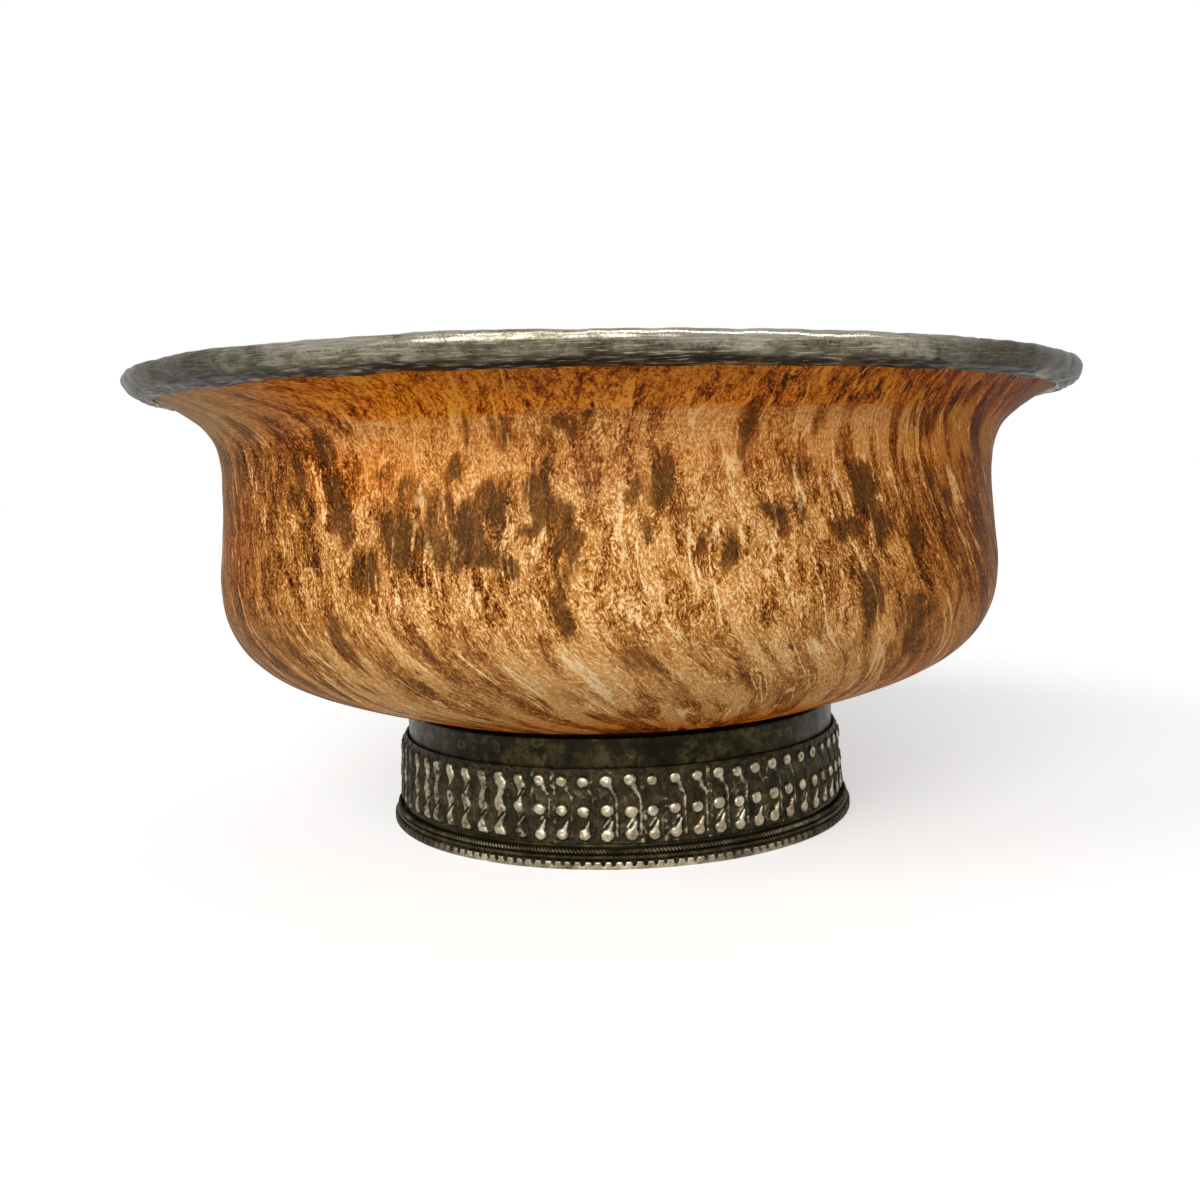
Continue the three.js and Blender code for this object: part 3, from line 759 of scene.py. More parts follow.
DARK_PATCHES = [Patch(*patch) for patch in (
    (318, 408, 3, 34, 40, 0.9), (325, 450, 9, 14, 10, 0.8), (335, 508, 11, 34, 5, 0.8),
    (296, 488, 10, 20, 0, 0.6), (240, 488, 3, 42, 0, 0.6), (357, 467, 7, 9, 0, 0.5),
    (387, 470, 8, 9, 0, 0.5), (356, 572, 8, 19, 10, 0.8), (403, 541, 18, 25, 20, 0.85),
    (414, 500, 9, 22, 5, 0.7), (441, 520, 13, 33, 15, 0.85), (456, 467, 7, 16, -20, 0.8),
    (350, 650, 11, 38, 32, 0.75), (330, 664, 7, 14, 30, 0.5), (270, 640, 6, 10, 30, 0.5),
    (374, 690, 28, 12, -20, 0.6), (389, 667, 5, 13, 25, 0.5), (447, 660, 4, 12, 20, 0.5),
    (237, 427, 16, 7, -30, 0.5), (496, 500, 15, 20, -30, 0.95), (471, 510, 9, 13, 0, 0.9),
    (460, 540, 20, 18, 20, 1.0), (543, 499, 13, 21, 0, 1.0), (529, 528, 8, 6, 0, 0.7),
    (562, 550, 9, 33, 16, 0.85), (571, 514, 7, 7, 0, 0.8), (592, 516, 4, 9, -10, 0.7),
    (515, 566, 8, 11, 10, 0.9), (489, 557, 8, 9, 0, 0.8), (556, 609, 7, 25, 10, 1.0),
    (502, 430, 9, 18, 0, 0.55), (464, 430, 6, 24, 0, 0.5), (533, 437, 5, 36, 5, 0.6),
    (566, 422, 18, 11, 0, 0.5), (586, 413, 6, 3, 0, 1.0), (636, 489, 5, 18, 0, 0.6),
    (660, 482, 9, 24, 0, 0.6), (629, 497, 6, 12, 0, 0.6), (645, 531, 5, 13, 0, 0.6),
    (700, 548, 7, 10, 0, 0.5), (687, 511, 8, 5, 0, 0.5), (565, 697, 30, 14, -8, 0.45),
    (646, 665, 22, 18, 30, 0.45), (470, 652, 6, 24, 15, 0.5), (503, 678, 8, 9, 0, 0.4),
    (553, 663, 3, 18, 12, 0.5), (731, 550, 9, 17, 0, 0.5), (775, 513, 14, 7, 0, 0.95),
    (777, 524, 11, 10, 0, 0.7), (802, 508, 9, 13, 0, 0.6), (866, 498, 9, 27, 5, 0.85),
    (848, 529, 14, 11, 0, 0.9), (880, 528, 11, 18, 20, 0.8), (930, 478, 6, 11, 10, 0.9),
    (948, 500, 4, 19, 16, 0.7), (915, 538, 4, 20, 10, 0.6), (871, 602, 8, 24, 5, 0.8),
    (910, 632, 11, 32, 5, 0.85), (929, 612, 6, 10, 15, 0.6), (922, 599, 5, 4, 0, 1.0),
    (849, 652, 8, 18, 0, 0.6), (866, 678, 20, 8, 10, 0.5), (976, 426, 7, 27, 5, 0.5),
    (933, 420, 6, 19, 0, 0.6), (813, 427, 6, 10, 0, 0.5), (745, 438, 10, 34, 0, 0.55),
    (797, 468, 15, 11, 10, 0.5), (942, 518, 4, 17, 22, 0.6), (958, 606, 2, 27, 0, 0.8),
    (988, 600, 6, 26, -12, 0.5),
)]

PALE_PATCHES = [Patch(*patch) for patch in (
    (443, 610, 22, 26, 0, 0.7), (470, 472, 10, 13, -15, 0.8), (511, 585, 6, 19, 0, 1.0),
    (573, 496, 13, 11, 0, 0.8), (688, 477, 17, 21, 0, 0.6), (640, 620, 80, 34, 0, 0.45),
    (543, 570, 24, 7, -20, 0.7), (800, 418, 6, 17, 0, 0.7), (839, 428, 9, 30, 0, 0.7),
    (766, 418, 6, 17, 0, 0.7), (868, 420, 3, 16, 0, 0.7), (894, 412, 16, 11, 0, 0.7),
    (788, 635, 44, 38, 0, 0.5), (815, 525, 14, 12, 0, 0.7), (777, 484, 13, 18, 0, 0.5),
    (293, 541, 17, 25, 0, 0.3), (390, 420, 50, 34, 0, 0.3), (500, 640, 40, 26, 15, 0.45),
    (880, 556, 16, 12, 30, 0.6), (867, 575, 12, 9, 30, 0.6), (270, 400, 40, 7, -25, 0.45),
    (587, 428, 4, 4, 0, 1.0), (720, 420, 8, 18, 0, 0.6), (650, 540, 30, 14, 0, 0.35),
)]


def bowl_patches(patches, around, climb, view, seed, count):
    """How strongly the patches cover each point of the wood. The front has the photograph's patches, each
    placed on the point that shows at its middle. The rest has count more, scattered at random with like sizes
    and leans."""
    across, down, seen, lip = view
    rng = np.random.default_rng(seed)
    laid = []
    for patch in patches:
        miss = np.where(seen, (across - patch.across)**2 + (down - patch.down)**2, np.inf)
        i, j = np.unravel_index(miss.argmin(), miss.shape)
        widened = patch.wide / max(LEAST_FACING, math.cos(around[i, j]))
        laid.append((around[i, j], climb[i, j], widened, patch.tall, patch.lean, patch.strength))
    for _ in range(count):
        like = patches[rng.integers(len(patches))]
        laid.append((rng.uniform(*BEHIND), rng.uniform(2, lip), *like[2:]))
    cover = np.zeros(around.shape)
    for at, height, wide, tall, lean, strength in laid:
        aside = ((around - at + math.pi) % TURN - math.pi) * GRAIN_RADIUS
        above = climb - height
        tilt = math.radians(lean)
        u = (aside * math.cos(tilt) + above * math.sin(tilt)) / (wide * NEAR_PIXEL)
        v = (above * math.cos(tilt) - aside * math.sin(tilt)) / (tall * NEAR_PIXEL)
        cover = np.maximum(cover, strength * smooth_step(NO_COVER, FULL_COVER, np.hypot(u, v)))
    return cover


def wood_areas(around, tall):
    """How far each point of the wood lies in the areas that look different, by its angle and its height."""
    away = np.abs(around)
    fore = turn_step(150, 72, away)
    left = turn_step(-22, -55, around) * fore
    flare = smooth_step(52, 56.5, tall)
    off_left = np.hypot((around - math.radians(-21)) * GRAIN_RADIUS / 1.4, tall - 53.5)
    above_belly = smooth_step(48, 50.5, tall) * smooth_step(56, 55, tall)
    return SimpleNamespace(
        fore=fore,
        left=left,
        right=turn_step(18, 52, around) * fore,
        low=smooth_step(35, 29, tall),
        under=smooth_step(27, 22, tall),
        flare=flare,
        at_foot=smooth_step(21, 17.5, tall),
        # The sides, where the wood gets painted shade.
        side=turn_step(30, 62, away) * turn_step(94, 74, away) * (1 - 0.8 * flare * left),
        # Where the wood turns away at the sides, for painted shade.
        receding=turn_step(54, 70, away) * turn_step(88, 74, away),
        upper_right=above_belly * turn_step(5, 13, around) * fore,
        smooth_left=smooth_step(10, 5, off_left),
    )


def wood_grain(around, climb, area, outside, still_row):
    """Each point's place on a cylinder round the bowl, as far round as its angle and as high as the way along
    the outline. The fibres follow that height. Where they lean, the angle slides sideways as the height
    grows, from the row that stays as it is."""
    lean = 0.1 + 0.5 * area.low - 0.3 * area.under + 0.55 * area.flare * area.left
    lean = lean + 0.6 * area.right * (1 - area.low) + 0.25 * area.left
    lean = lean + 0.3 * uneven(14, around, climb, 9, 18, 2)
    slide = np.cumsum(lean * np.diff(climb, axis=0, prepend=climb[:1]) * outside, axis=0)
    turn = around + (slide - slide[still_row]) / GRAIN_RADIUS
    return np.stack([GRAIN_RADIUS * np.sin(turn), -GRAIN_RADIUS * np.cos(turn), climb], axis=-1)


def wood_shares(around, climb, tall, area, outside):
    """How strongly the wood's colours and figure show at each point: how orange, grey, calm and brushed it
    is, how far it turns away, where it gets painted shade, and how much painted light and shade lighten it in
    some places and darken it in others."""
    fore, left, right, low, flare = area.fore, area.left, area.right, area.low, area.flare
    patchy = 0.5 + 0.5 * uneven(15, around, climb, 12, 12, 2)
    wavy_tall = tall + 0.5 * uneven(16, around, climb, 30, 6, 2)
    not_left = np.maximum(turn_step(-42, -25, around), 1 - fore)
    under_lip = smooth_step(54.7, 56.0, wavy_tall) * not_left * (1 - 0.85 * right)
    orange = 0.75 * under_lip + 0.2 * right + 0.5 * area.at_foot + 0.3 * smooth_step(0.55, 0.85, patchy)
    orange = orange + 0.28 + 0.27 * smooth_step(44, 51, tall) * (1 - left) * (1 - 0.6 * right)
    grey = 0.6 * low * (1 - area.under) * patchy + 1.0 * flare * left + 0.35 * smooth_step(0.6, 0.2, patchy)
    calm = 0.5 * low + 0.1 * area.under + 0.1 * flare + 0.4 * flare * left + 0.5 * area.upper_right
    calm = calm + 0.2 * right * (1 - low)
    brushed = smooth_step(47, 50, tall) * (1 - right)
    shares = {"orange": orange, "grey": grey, "calm": calm, "brushed": brushed, "side": area.side,
              "receding": area.receding}
    shares = {name: np.clip(value, 0, 0.95) for name, value in shares.items()}
    # Painted light and shade: darker towards both sides, at the back, near the foot and where the wood is
    # hidden
    # under the silver; lighter low on the belly, high up, at the left flare, under the lip on the left and on
    # the upper right.
    deep = (1.15 * turn_step(5, 72, around) + turn_step(-15, -60, around)) * fore * (1 - 0.8 * flare * left)
    deep = deep - 0.45 * low - 0.1 * smooth_step(49, 56, tall) + 5 * (1 - outside) + 0.45 * (1 - fore)
    deep = deep - 1.1 * flare * left - 0.8 * right * low + 0.2 * left * (1 - flare) + 0.7 * area.at_foot
    return {**shares, "deep": deep - 0.95 * area.smooth_left - 0.7 * area.upper_right}


def wood_bowl(material):
    """The turned wood, in one closed surface, fine on its wide part above the foot and coarse elsewhere."""
    joint = np.array(FOOT_JOINT)
    outline = fine_outline(section("wood_bowl"), lambda spot: (
        WOOD_SPACING if spot[0] > WIDE_RADIUS and spot[1] > joint[1] else HIDDEN_SPACING))
    along = way_along(outline)
    rise = along - along[np.hypot(*(outline - joint).T).argmin()]
    lip = outline[:, 0].argmax()
    around, climb = np.meshgrid(angles(AROUND_WOOD), rise)
    tall = outline[:, 1:] + 0 * around
    outside = smooth_step(0, 2, climb) * smooth_step(rise[lip] + 1, rise[lip] - 2, climb)
    radius, high = pushed(outline, outside * (0.13 * uneven(11, around, climb, 14, 16, 2) + 0.06))
    across, down = pixels(*settle(radius * np.sin(around), -radius * np.cos(around), high))
    facing = outward(outline)[:, :1] * np.cos(around) > 0.05
    view = across, down, facing & (climb > 0) & (climb < rise[lip]), rise[lip]
    bent_around = around + PATCH_BEND / GRAIN_RADIUS * uneven(12, around, climb, 70, 5, 2)
    bent_climb = climb + PATCH_BEND * uneven(13, around, climb, 70, 5, 2)
    dark = bowl_patches(DARK_PATCHES, bent_around, bent_climb, view, 21, 90)
    dark = dark * (1 - 0.4 * smooth_step(33, 27, tall))
    pale = bowl_patches(PALE_PATCHES, bent_around, bent_climb, view, 22, 30)
    area = wood_areas(around, tall)
    return turned("bowl_wood", radius, high, "wood_bowl", "burl_wood", material, dark=dark, pale=pale,
                  grain=wood_grain(around, climb, area, outside, lip // 2),
                  **wood_shares(around, climb, tall, area, outside))


# The silver mounts

def rim_binding(material):
    """The hammered lip. Overlapping hammer facets and slow waves move its surface, its outer lower edge is
    crinkled, and a few sunken dents and pits stay dark with tarnish. The crinkled lower edge is painted near
    black as shade."""
    outline = fine_outline(section("rim_binding"), RIM_SPACING, sharp=math.radians(70))
    normal = outward(outline)
    angle, along = np.meshgrid(angles(AROUND_RIM), np.arange(len(outline)) * RIM_SPACING)
    shown = smooth_step(-0.4, 0.1, normal[:, :1] * 0.6 + normal[:, 1:])
    outer = smooth_step(0.1, 0.6, normal[:, :1])
    top = outline[:, 1].max()
    edge = smooth_step(1.9, 2.8, top - outline[:, 1:]) * smooth_step(-0.5, 0, normal[:, :1])
    facets = uneven(31, angle, along, 150, 1.7, 2)
    waves = uneven(32, angle, along, 26, 5, 2)
    crinkle = uneven(33, angle, along, 110, 0.7, 3)
    pits = smooth_step(0.55, 0.85, uneven(34, angle, along, 190, 1.2, 2))
    push = shown * (0.1 * facets + 0.16 * waves - 0.08) + edge * 0.28 * crinkle
    radius, height = pushed(outline, push - 0.14 * pits * shown + outer * 0.3)
    # The sides, which get painted shade, and the front, which gets painted light.
    side = turn_step(20, 48, np.abs(angle)) * turn_step(150, 110, np.abs(angle))
    front = 1 - side
    patchy = uneven(35, angle, along, 40, 3, 3)
    crest = smooth_step(1.6, 0.7, top - height) * (0.5 + 0.35 * facets + 0.5 * patchy)
    # Rubbing brightens the crest; the extra brightness across the front is painted light, and the sides get
    # less.
    wear = np.clip(crest * (0.2 + 0.8 * front) + 0.5 * front - 0.1 + 0.3 * patchy, 0, 1) * shown
    # Tarnish in the pits, and painted shade along the crinkled lower edge.
    pit = 0.8 * pits + edge * smooth_step(-0.5, 0.15, crinkle + 0.4 * smooth_step(0.0, 0.5, patchy))
    return turned("rim_silver", radius, height, "rim_binding", "rim_silver", material, wear=wear,
                  pit=np.clip(pit, 0, 1), dull=0.95 * side * outer)


def plain_turned(name, node, slot, material, spacing, unevenness, seed, cells=(60, 3), off_axis=8):
    """A plain turned piece, with hand work that is uneven by up to the given depth. cells are how many marks
    go round it and how long each is, and within off_axis of the axis they fade away."""
    outline = fine_outline(section(node), spacing)
    angle, along = np.meshgrid(angles(AROUND_PLAIN), way_along(outline))
    push = unevenness * uneven(seed, angle, along, *cells, 2) * smooth_step(0, off_axis, outline[:, :1])
    radius, height = pushed(outline, push)
    return turned(name, radius, height, node, slot, material)


def silver_lining(material):
    """The lining sheet, with the soft dimples that a planishing hammer leaves."""
    return plain_turned("lining_silver", "silver_lining", "lining_silver", material, spacing=0.8,
                        unevenness=0.045, seed=41, cells=(70, 5), off_axis=12)


def lac_bedding(material):
    """The ring of lac between the wooden foot and the silver one, lumpy as it set."""
    return plain_turned("lac", "lac_bedding", "lac", material, spacing=0.8, unevenness=0.03, seed=71)


def foot_collar(material):
    """The plain sheet tube round the foot."""
    return plain_turned("collar_silver", "foot_collar", "dark_silver", material, spacing=0.35,
                        unevenness=0.05, seed=72)


def foot_flange(material):
    """The flat ring under the foot, with its upstand."""
    return plain_turned("flange_silver", "foot_flange", "dark_silver", material, spacing=0.35,
                        unevenness=0.03, seed=73)


def base_pan(material):
    """The shallow pan in the recess under the foot."""
    return plain_turned("pan_silver", "base_pan", "dark_silver", material, spacing=0.5,
                        unevenness=0.05, seed=74)


def dome(u, v, radius, rise):
    """A rounded boss: it rises steeply at its edge and is nearly flat on top."""
    return rise * np.sqrt(np.clip(1 - ((u * u + v * v) / radius**2)**1.6, 0, 1))


def bar(u, v, start, end, width, rise):
    """A rounded stroke from start to end, whose half width goes from one width to the other."""
    du, dv = end[0] - start[0], end[1] - start[1]
    share = np.clip(((u - start[0]) * du + (v - start[1]) * dv) / (du * du + dv * dv), 0, 1)
    half = width[0] + (width[1] - width[0]) * share
    away = np.hypot(u - start[0] - share * du, v - start[1] - share * dv)
    return rise * np.sqrt(np.clip(1 - (away / half)**2, 0, 1))


def whole_column(u, v, wobble, pick):
    """Two beads and a drop with a tail, a leaf above the drop, and a hook that comes down from the top bead
    to a thin ridge."""
    drop, middle, top = ROW_HEIGHTS
    size = BEAD_RADIUS * (1 + 0.07 * wobble[0])
    high = np.maximum.reduce([
        dome(u + 0.3 - 0.1 * wobble[1], v - top - 0.15 * wobble[2], size * 0.95, BEAD_RISE * 0.9),
        dome(u + 0.3 - 0.1 * wobble[3], v - middle - 0.15 * wobble[4], size, BEAD_RISE),
        dome(u + 0.25 - 0.1 * wobble[5], v - drop - 0.1 * wobble[6], size, BEAD_RISE),
        bar(u, v, (-0.1, drop + 0.4), (0.4, drop + 1.7), (0.55, 0.16), BEAD_RISE * 0.85),
        bar(u, v, (-0.75, drop + 1.0), (0.15, drop + 2.1), (0.2, 0.3), BEAD_RISE * 0.6) * (pick[2] > -0.5),
    ])
    bend = 0.95 - 0.75 * smooth_step(top - 2.4, top - 0.6, v)
    ends = smooth_step(top - 0.1, top - 0.6, v) * smooth_step(drop - 0.6, drop - 0.1, v)
    width = 0.22 + 0.25 * smooth_step(top - 2.6, top - 0.8, v)
    hook = 0.5 * BEAD_RISE * np.sqrt(np.clip(1 - ((u - bend) / width)**2, 0, 1)) * ends
    dent = dome(u + 0.3, v - top, size * 0.35, 0.12) * (pick[0] > 0.4)
    return np.maximum(high, hook) - dent


def worn_column(u, v, wobble, pick):
    """A column whose rounds have run together into a wavy, knotted rod, with a thin ridge beside it."""
    drop, middle, top = ROW_HEIGHTS
    wave = (v - middle) * TURN / 3.3
    sway = 0.2 * np.sin(wave) + 0.12 * wobble[1]
    swell = 0.78 + 0.2 * np.cos(wave) + 0.08 * wobble[0] + 0.08 * smooth_step(middle, drop, v)
    ends = smooth_step(top + 1.1, top + 0.4, v) * smooth_step(drop - 1.0, drop - 0.4, v)
    rounding = np.clip(1 - (np.abs(u + sway + 0.1) / swell)**2.6, 0, 1)**0.6
    rod = BEAD_RISE * (0.93 + 0.07 * np.cos(wave)) * rounding * ends
    knot = bar(u, v, (-0.8, drop + 0.9), (0.5, drop + 2.3), (0.16, 0.16), 0.3)
    upper_knot = bar(u, v, (-0.5, middle + 1.0), (0.6, middle + 2.6), (0.14, 0.14), 0.22) * (pick[3] > -0.2)
    off_ridge = np.abs(u - 1.1 + 0.15 * np.sin(wave + 3 * wobble[5]))
    ridge = 0.5 * BEAD_RISE * smooth_step(0.3, 0.1, off_ridge) * ends
    return np.maximum(rod - (knot + upper_knot) * (rod > 0), ridge)


def column_relief(u, v, worn, wobble, pick):
    """The relief of one column, in millimetres out of the band. u runs across it from its middle, v is the
    height, and worn is the share of the worn column in it."""
    return worn * worn_column(u, v, wobble, pick) + (1 - worn) * whole_column(u, v, wobble, pick)


def softened(grid, across, up):
    """The grid averaged over boxes of across columns and up rows. Columns join round the bowl and rows
    don't."""
    wide = np.cumsum(np.concatenate([grid[:, -across:], grid, grid[:, :across + 1]], axis=1), axis=1)
    smooth = (wide[:, 2 * across + 1:] - wide[:, :-2 * across - 1]) / (2 * across + 1)
    tall = np.cumsum(np.pad(smooth, ((up + 1, up), (0, 0)), mode="edge"), axis=0)
    return (tall[2 * up + 1:] - tall[:-2 * up - 1]) / (2 * up + 1)


def ornament_band(material):
    """The band of relief, as a height over its outer face. The columns stand at equal angles, and every one
    is a little off in its own way."""
    outline = fine_outline(section("ornament_band"), lambda spot: (
        BAND_SPACING if spot[0] > BAND_FACE else BAND_BACK_SPACING), sharp=math.radians(20))
    angle, height = np.meshgrid(angles(AROUND_BAND), outline[:, 1])
    rng = np.random.default_rng(51)
    step = TURN / COLUMN_COUNT
    turns = (angle - COLUMN_SHIFT) / step
    column = np.floor(turns).astype(int) % COLUMN_COUNT
    wobble = rng.uniform(-1, 1, (8, COLUMN_COUNT))[:, column]
    pick = rng.uniform(-1, 1, (4, COLUMN_COUNT))[:, column]
    u = (turns - np.floor(turns) - 0.5) * step * BAND_RADIUS - 0.12 * wobble[7]
    place = COLUMN_SHIFT + (column + 0.5) * step
    place = (place + math.pi) % TURN - math.pi
    worn = smooth_step(WORN_TO, WORN_TO - 1.5 * step, place) * (place > WORN_FROM)
    relief = column_relief(u, height, worn, wobble, pick)
    between = rng.uniform(-1, 1, COLUMN_COUNT)[np.round(turns).astype(int) % COLUMN_COUNT]
    off_joint = np.abs(turns - np.round(turns)) * step * BAND_RADIUS
    strip = smooth_step(0.42, 0.28, off_joint) * (between > -0.2)
    relief = np.maximum(relief, 0.1 * strip)
    face = smooth_step(0.6, 0.9, outward(outline)[:, :1])
    rough = uneven(52, angle, height, 420, 0.45, 3)
    lumps = uneven(53, angle, height, 90, 2.4, 2)
    radius, high = pushed(outline, face * (relief + 0.07 * rough + 0.07 * lumps - 0.06))
    proud = relief - softened(relief, 7, 4)
    wear = 0.2 + 0.6 * smooth_step(0.3, 0.9, relief / BEAD_RISE) + 1.0 * proud + 0.4 * rough + 0.2 * lumps
    wear = wear + 0.22 * strip * smooth_step(-0.1, 0.5, rough) * (relief < 0.2)
    wear = wear + 0.18 * wobble[2] * (relief > 0.2)
    # The worn columns stay darker. Less rubbed white towards the sides and none at the top under the collar
    # is painted shade.
    wear = wear - 0.27 * worn - 0.33 * turn_step(20, 70, np.abs(angle))
    wear = np.clip(wear, 0, 0.95) * face * smooth_step(12.2, 11.9, height)
    return turned("ornament_relief", radius, high, "ornament_band", "worn_silver", material, wear=wear)


def rope_wire(material):
    """Two strands twisted together. Round the wire's middle line, the surface lies as far out as the farther
    of two circles that stand either side of it and turn as the wire goes round the foot."""
    low, high = (np.array(corner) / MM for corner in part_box("rope_wire"))
    thick = (high[2] - low[2]) / 2
    centre_radius, centre_height = high[0] - thick, (high[2] + low[2]) / 2
    round_points = np.arange(ROPE_POINTS) * TURN / ROPE_POINTS - math.pi / 2
    angle, round_wire = np.meshgrid(angles(ROPE_STROKES * STROKE_COLUMNS), round_points)
    twist = -angle * ROPE_STROKES / 2
    strand, offset = STRAND * thick, STRAND_OFFSET * thick
    out = np.maximum(*(offset * np.cos(round_wire - twist - turn) + np.sqrt(
        strand**2 - (offset * np.sin(round_wire - twist - turn))**2) for turn in (0, math.pi)))
    radius = centre_radius + out * np.cos(round_wire)
    height = centre_height + out * np.sin(round_wire)
    wear = smooth_step(0.72, 1.0, out / thick) * smooth_step(-0.3, 0.7, np.cos(round_wire - 0.6))
    wear = wear * (0.37 + 0.37 * uneven(61, angle, height, 50, 4))
    return turned("rope_silver", radius, height, "rope_wire", "worn_silver", material, wear=wear)


def plain_wire(material):
    """The drawn wire below, round in section and a little wavy."""
    outline = fine_outline(section("plain_wire"), WIRE_SPACING, sharp=math.radians(80))
    angle, height = np.meshgrid(angles(AROUND_WIRE), outline[:, 1])
    radius, high = pushed(outline, 0.03 * uneven(62, angle, height, 120, 4, 2))
    wear = 0.22 + 0.25 * uneven(63, angle, height, 60, 4, 2)
    return turned("wire_silver", radius, high, "plain_wire", "worn_silver", material, wear=wear)


def milled_edge(material):
    """The bottom ring. Its outer top edge is nicked between one rounded tooth and the next."""
    low, high = (np.array(corner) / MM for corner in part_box("milled_edge"))
    rim, tall = high[1], high[2] - low[2]
    inner = rim - EDGE_WIDTH
    ring = np.array([
        [inner, 0], [rim - FOOT_BEVEL, 0], [rim, FOOT_BEVEL], [rim, tall - CREST_BEVEL],
        [rim - CREST_BEVEL, tall], [inner, tall]])
    outline = fine_outline(ring, EDGE_SPACING, sharp=math.radians(30))
    from_edge = (rim - outline[:, 0]) + (tall - outline[:, 1])
    angle, from_edge = np.meshgrid(angles(TOOTH_COUNT * TOOTH_COLUMNS), from_edge)
    rng = np.random.default_rng(64)
    turns = angle / TURN * TOOTH_COUNT
    tooth = np.floor(turns).astype(int) % TOOTH_COUNT
    uneven_tooth = rng.uniform(-1, 1, (2, TOOTH_COUNT))[:, tooth]
    from_nick = 0.5 - np.abs(turns - np.floor(turns) - 0.5 + 0.07 * uneven_tooth[0])
    nick = np.clip(1 - from_nick / NICK_HALF, 0, 1) * (0.85 + 0.35 * uneven_tooth[1])
    cut = nick * smooth_step(NICK_REACH, 0.0, from_edge) * NICK_DEPTH
    radius = outline[:, :1] - cut + 0.02 * uneven(65, angle, from_edge, 300, 1, 1)
    height = outline[:, 1:] - cut
    wear = np.clip(0.85 - 1.3 * nick * smooth_step(0.9, 0.1, from_edge), 0, 1)
    wear = wear * (0.75 + 0.25 * uneven(66, angle, height, 30, 4))
    # Painted shade: less rubbed white towards the ring's sides.
    faded = 1 - 0.75 * turn_step(28, 60, np.abs(angle))
    return turned("milled_silver", radius, height, "milled_edge", "worn_silver", material, wear=wear * faded)


# The studio

def seen_directly(graph):
    """1 for rays from the camera and for mirrored or refracted ones, which show a thing as it is."""
    ray = graph.add("LightPath").outputs
    sharp = graph.math("MAXIMUM", ray["Is Glossy Ray"], ray["Is Transmission Ray"])
    return graph.math("MAXIMUM", ray["Is Camera Ray"], sharp)


def floor_white():
    """The floor's material. The camera sees it as white apart from the bowl's soft shadow, it lights the bowl
    less strongly than it shows, and from below it is clear."""
    material = bpy.data.materials.new("floor_white")
    material.use_nodes = True
    material.node_tree.nodes.clear()
    graph = Graph(material.node_tree)
    matt = graph.add("BsdfDiffuse", (*(FLOOR_SHOWN,) * 3, 1)).outputs[0]
    light = graph.add("Emission", (1, 1, 1, 1), FLOOR_GLOW).outputs[0]
    both = graph.add("AddShader", matt, light).outputs[0]
    plain = graph.add("BsdfDiffuse", (*(FLOOR_LIGHTING,) * 3, 1)).outputs[0]
    mixed = graph.add("MixShader", seen_directly(graph), plain, both).outputs[0]
    clear = graph.add("BsdfTransparent").outputs[0]
    behind = graph.add("NewGeometry").outputs["Backfacing"]
    graph.add("OutputMaterial", graph.add("MixShader", behind, mixed, clear).outputs[0])
    return material


def lay_floor():
    """A wide pale ring of floor, whose hole is hidden under the foot."""
    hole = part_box("milled_edge")[1][1] - FLOOR_HIDDEN * MM
    turn = np.arange(FLOOR_SIDES) * TURN / FLOOR_SIDES
    ring = np.stack([np.cos(turn), np.sin(turn), 0 * turn], axis=1)
    drop = np.array([0, 0, FLOOR_DROP * MM])
    corner = np.arange(FLOOR_SIDES)
    following = (corner + 1) % FLOOR_SIDES
    faces = np.stack([corner, corner + FLOOR_SIDES, following + FLOOR_SIDES, following], axis=1)
    mesh = bpy.data.meshes.new("floor")
    mesh.from_pydata(np.vstack([hole * ring, FLOOR_RADIUS * ring]) - drop, [], faces.tolist())
    mesh.materials.append(floor_white())
    floor = placed("floor", mesh)


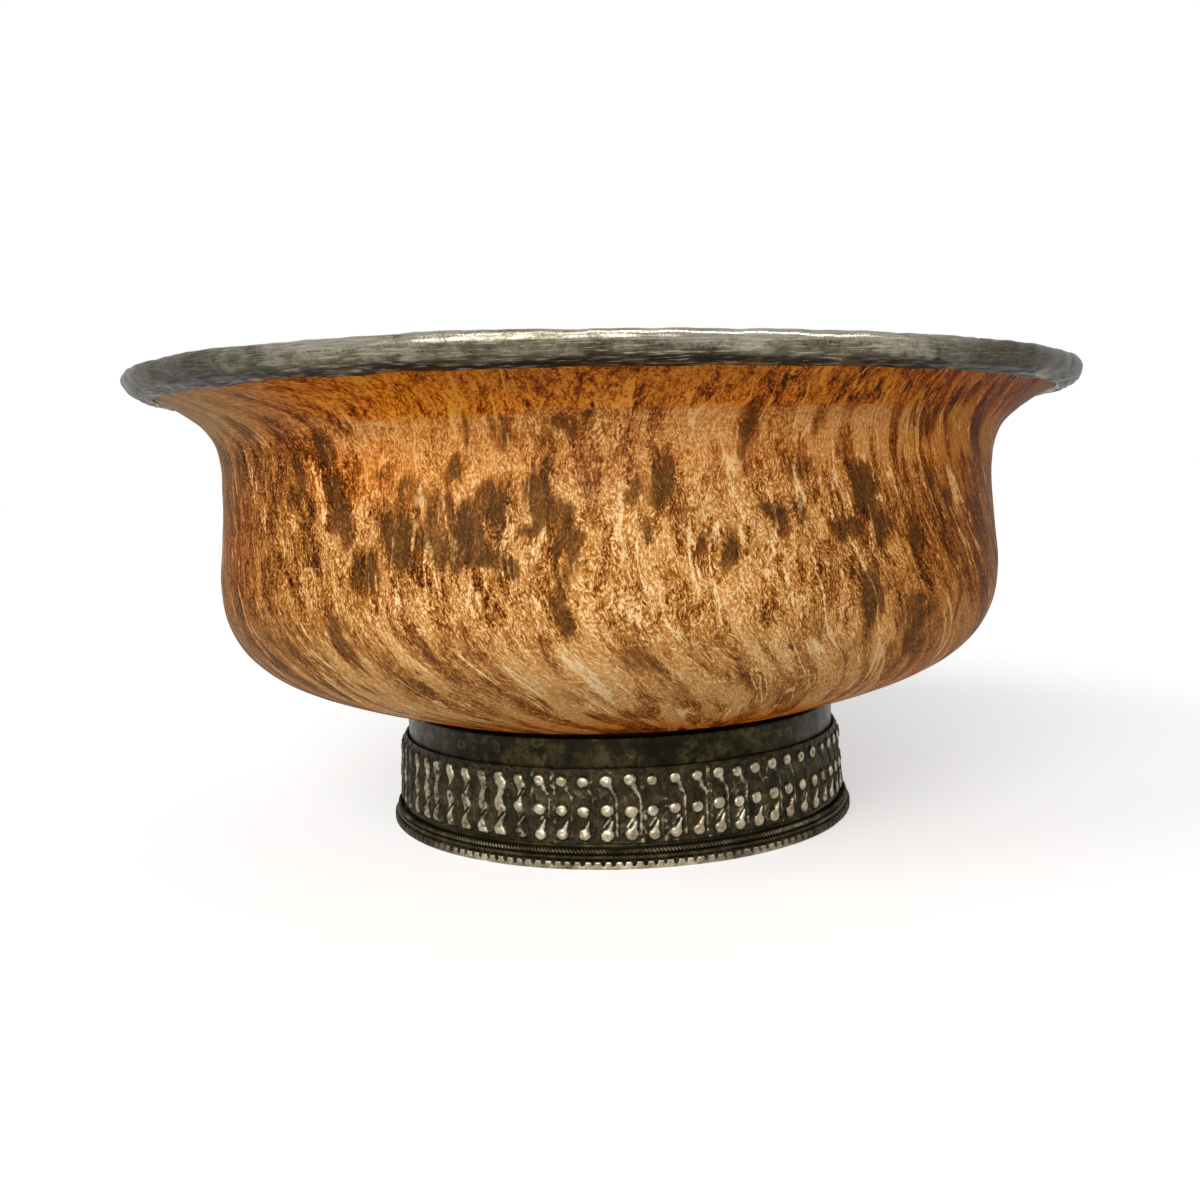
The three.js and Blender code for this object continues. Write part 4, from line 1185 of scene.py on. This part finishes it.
def backdrop():
    """The white world round the bowl, and the lamp box in it, which only mirrored rays meet."""
    world = bpy.data.worlds.new("studio")
    bpy.context.scene.world = world
    world.use_nodes = True
    world.node_tree.nodes.clear()
    graph = Graph(world.node_tree)
    towards = graph.add("TexCoord").outputs["Generated"]
    aside, ahead, up = graph.add("SeparateXYZ", towards).outputs
    climb = graph.math("ARCTAN2", up, graph.times(ahead, -1.0))
    off = graph.math("ABSOLUTE", graph.math("SUBTRACT", climb, math.radians(SOFTBOX_ELEVATION)))
    faint, full = math.radians(SOFTBOX_HALF + SOFTBOX_BLUR), math.radians(SOFTBOX_HALF - SOFTBOX_BLUR)
    box = graph.span(off, faint, full)
    ends = graph.math("ABSOLUTE", graph.math("SUBTRACT", aside, SOFTBOX_MIDDLE))
    box = graph.times(box, graph.span(ends, SOFTBOX_REACH + SOFTBOX_END, SOFTBOX_REACH))
    box = graph.times(box, graph.add("LightPath").outputs["Is Glossy Ray"])
    strength = graph.total(SKY_LIGHT, (seen_directly(graph), SKY_SHOWN - SKY_LIGHT), (box, SOFTBOX_STRENGTH))
    sky = graph.add("Background", (1, 1, 1, 1), strength).outputs[0]
    graph.add("OutputWorld", sky)


def sun(name, azimuth, elevation, strength, spread):
    """Soft light from far away. All its angles are in degrees, and azimuth goes from the front towards the
    right."""
    lamp = bpy.data.lights.new(name, "SUN")
    lamp.energy = strength
    lamp.angle = math.radians(spread)
    light = placed(name, lamp)
    a, e = math.radians(azimuth), math.radians(elevation)
    towards = Vector((math.sin(a) * math.cos(e), -math.cos(a) * math.cos(e), math.sin(e)))
    light.rotation_euler = towards.to_track_quat("Z", "Y").to_euler()
    return light


def camera():
    """The photograph's own view."""
    data = bpy.data.cameras.new("camera")
    data.sensor_width = SENSOR
    data.lens = FOCAL_PIXELS / PHOTO_SIDE * SENSOR
    data.clip_start = NEAR_CLIP
    data.clip_end = FAR_CLIP
    eye = placed("camera", data)
    turn = Matrix(np.array(camera_axes()).T).to_4x4()
    eye.matrix_world = Matrix.Translation(Vector(CAMERA_PLACE) * MM) @ turn
    bpy.context.scene.camera = eye


def main():
    bpy.context.scene.view_settings.view_transform = "Standard"
    camera()
    lay_floor()
    backdrop()
    sun("front", azimuth=-16, elevation=26, strength=2.1, spread=45)
    sun("left", azimuth=-60, elevation=38, strength=0.6, spread=25).visible_glossy = False
    worn, dark = worn_silver(), dark_silver()
    wood_bowl(burl_wood())
    rim_binding(hammered_rim())
    silver_lining(dull_lining())
    lac_bedding(old_lac())
    foot_collar(dark)
    foot_flange(dark)
    base_pan(dark)
    ornament_band(worn)
    plain_wire(worn)
    rope_wire(worn)
    milled_edge(worn)


main()
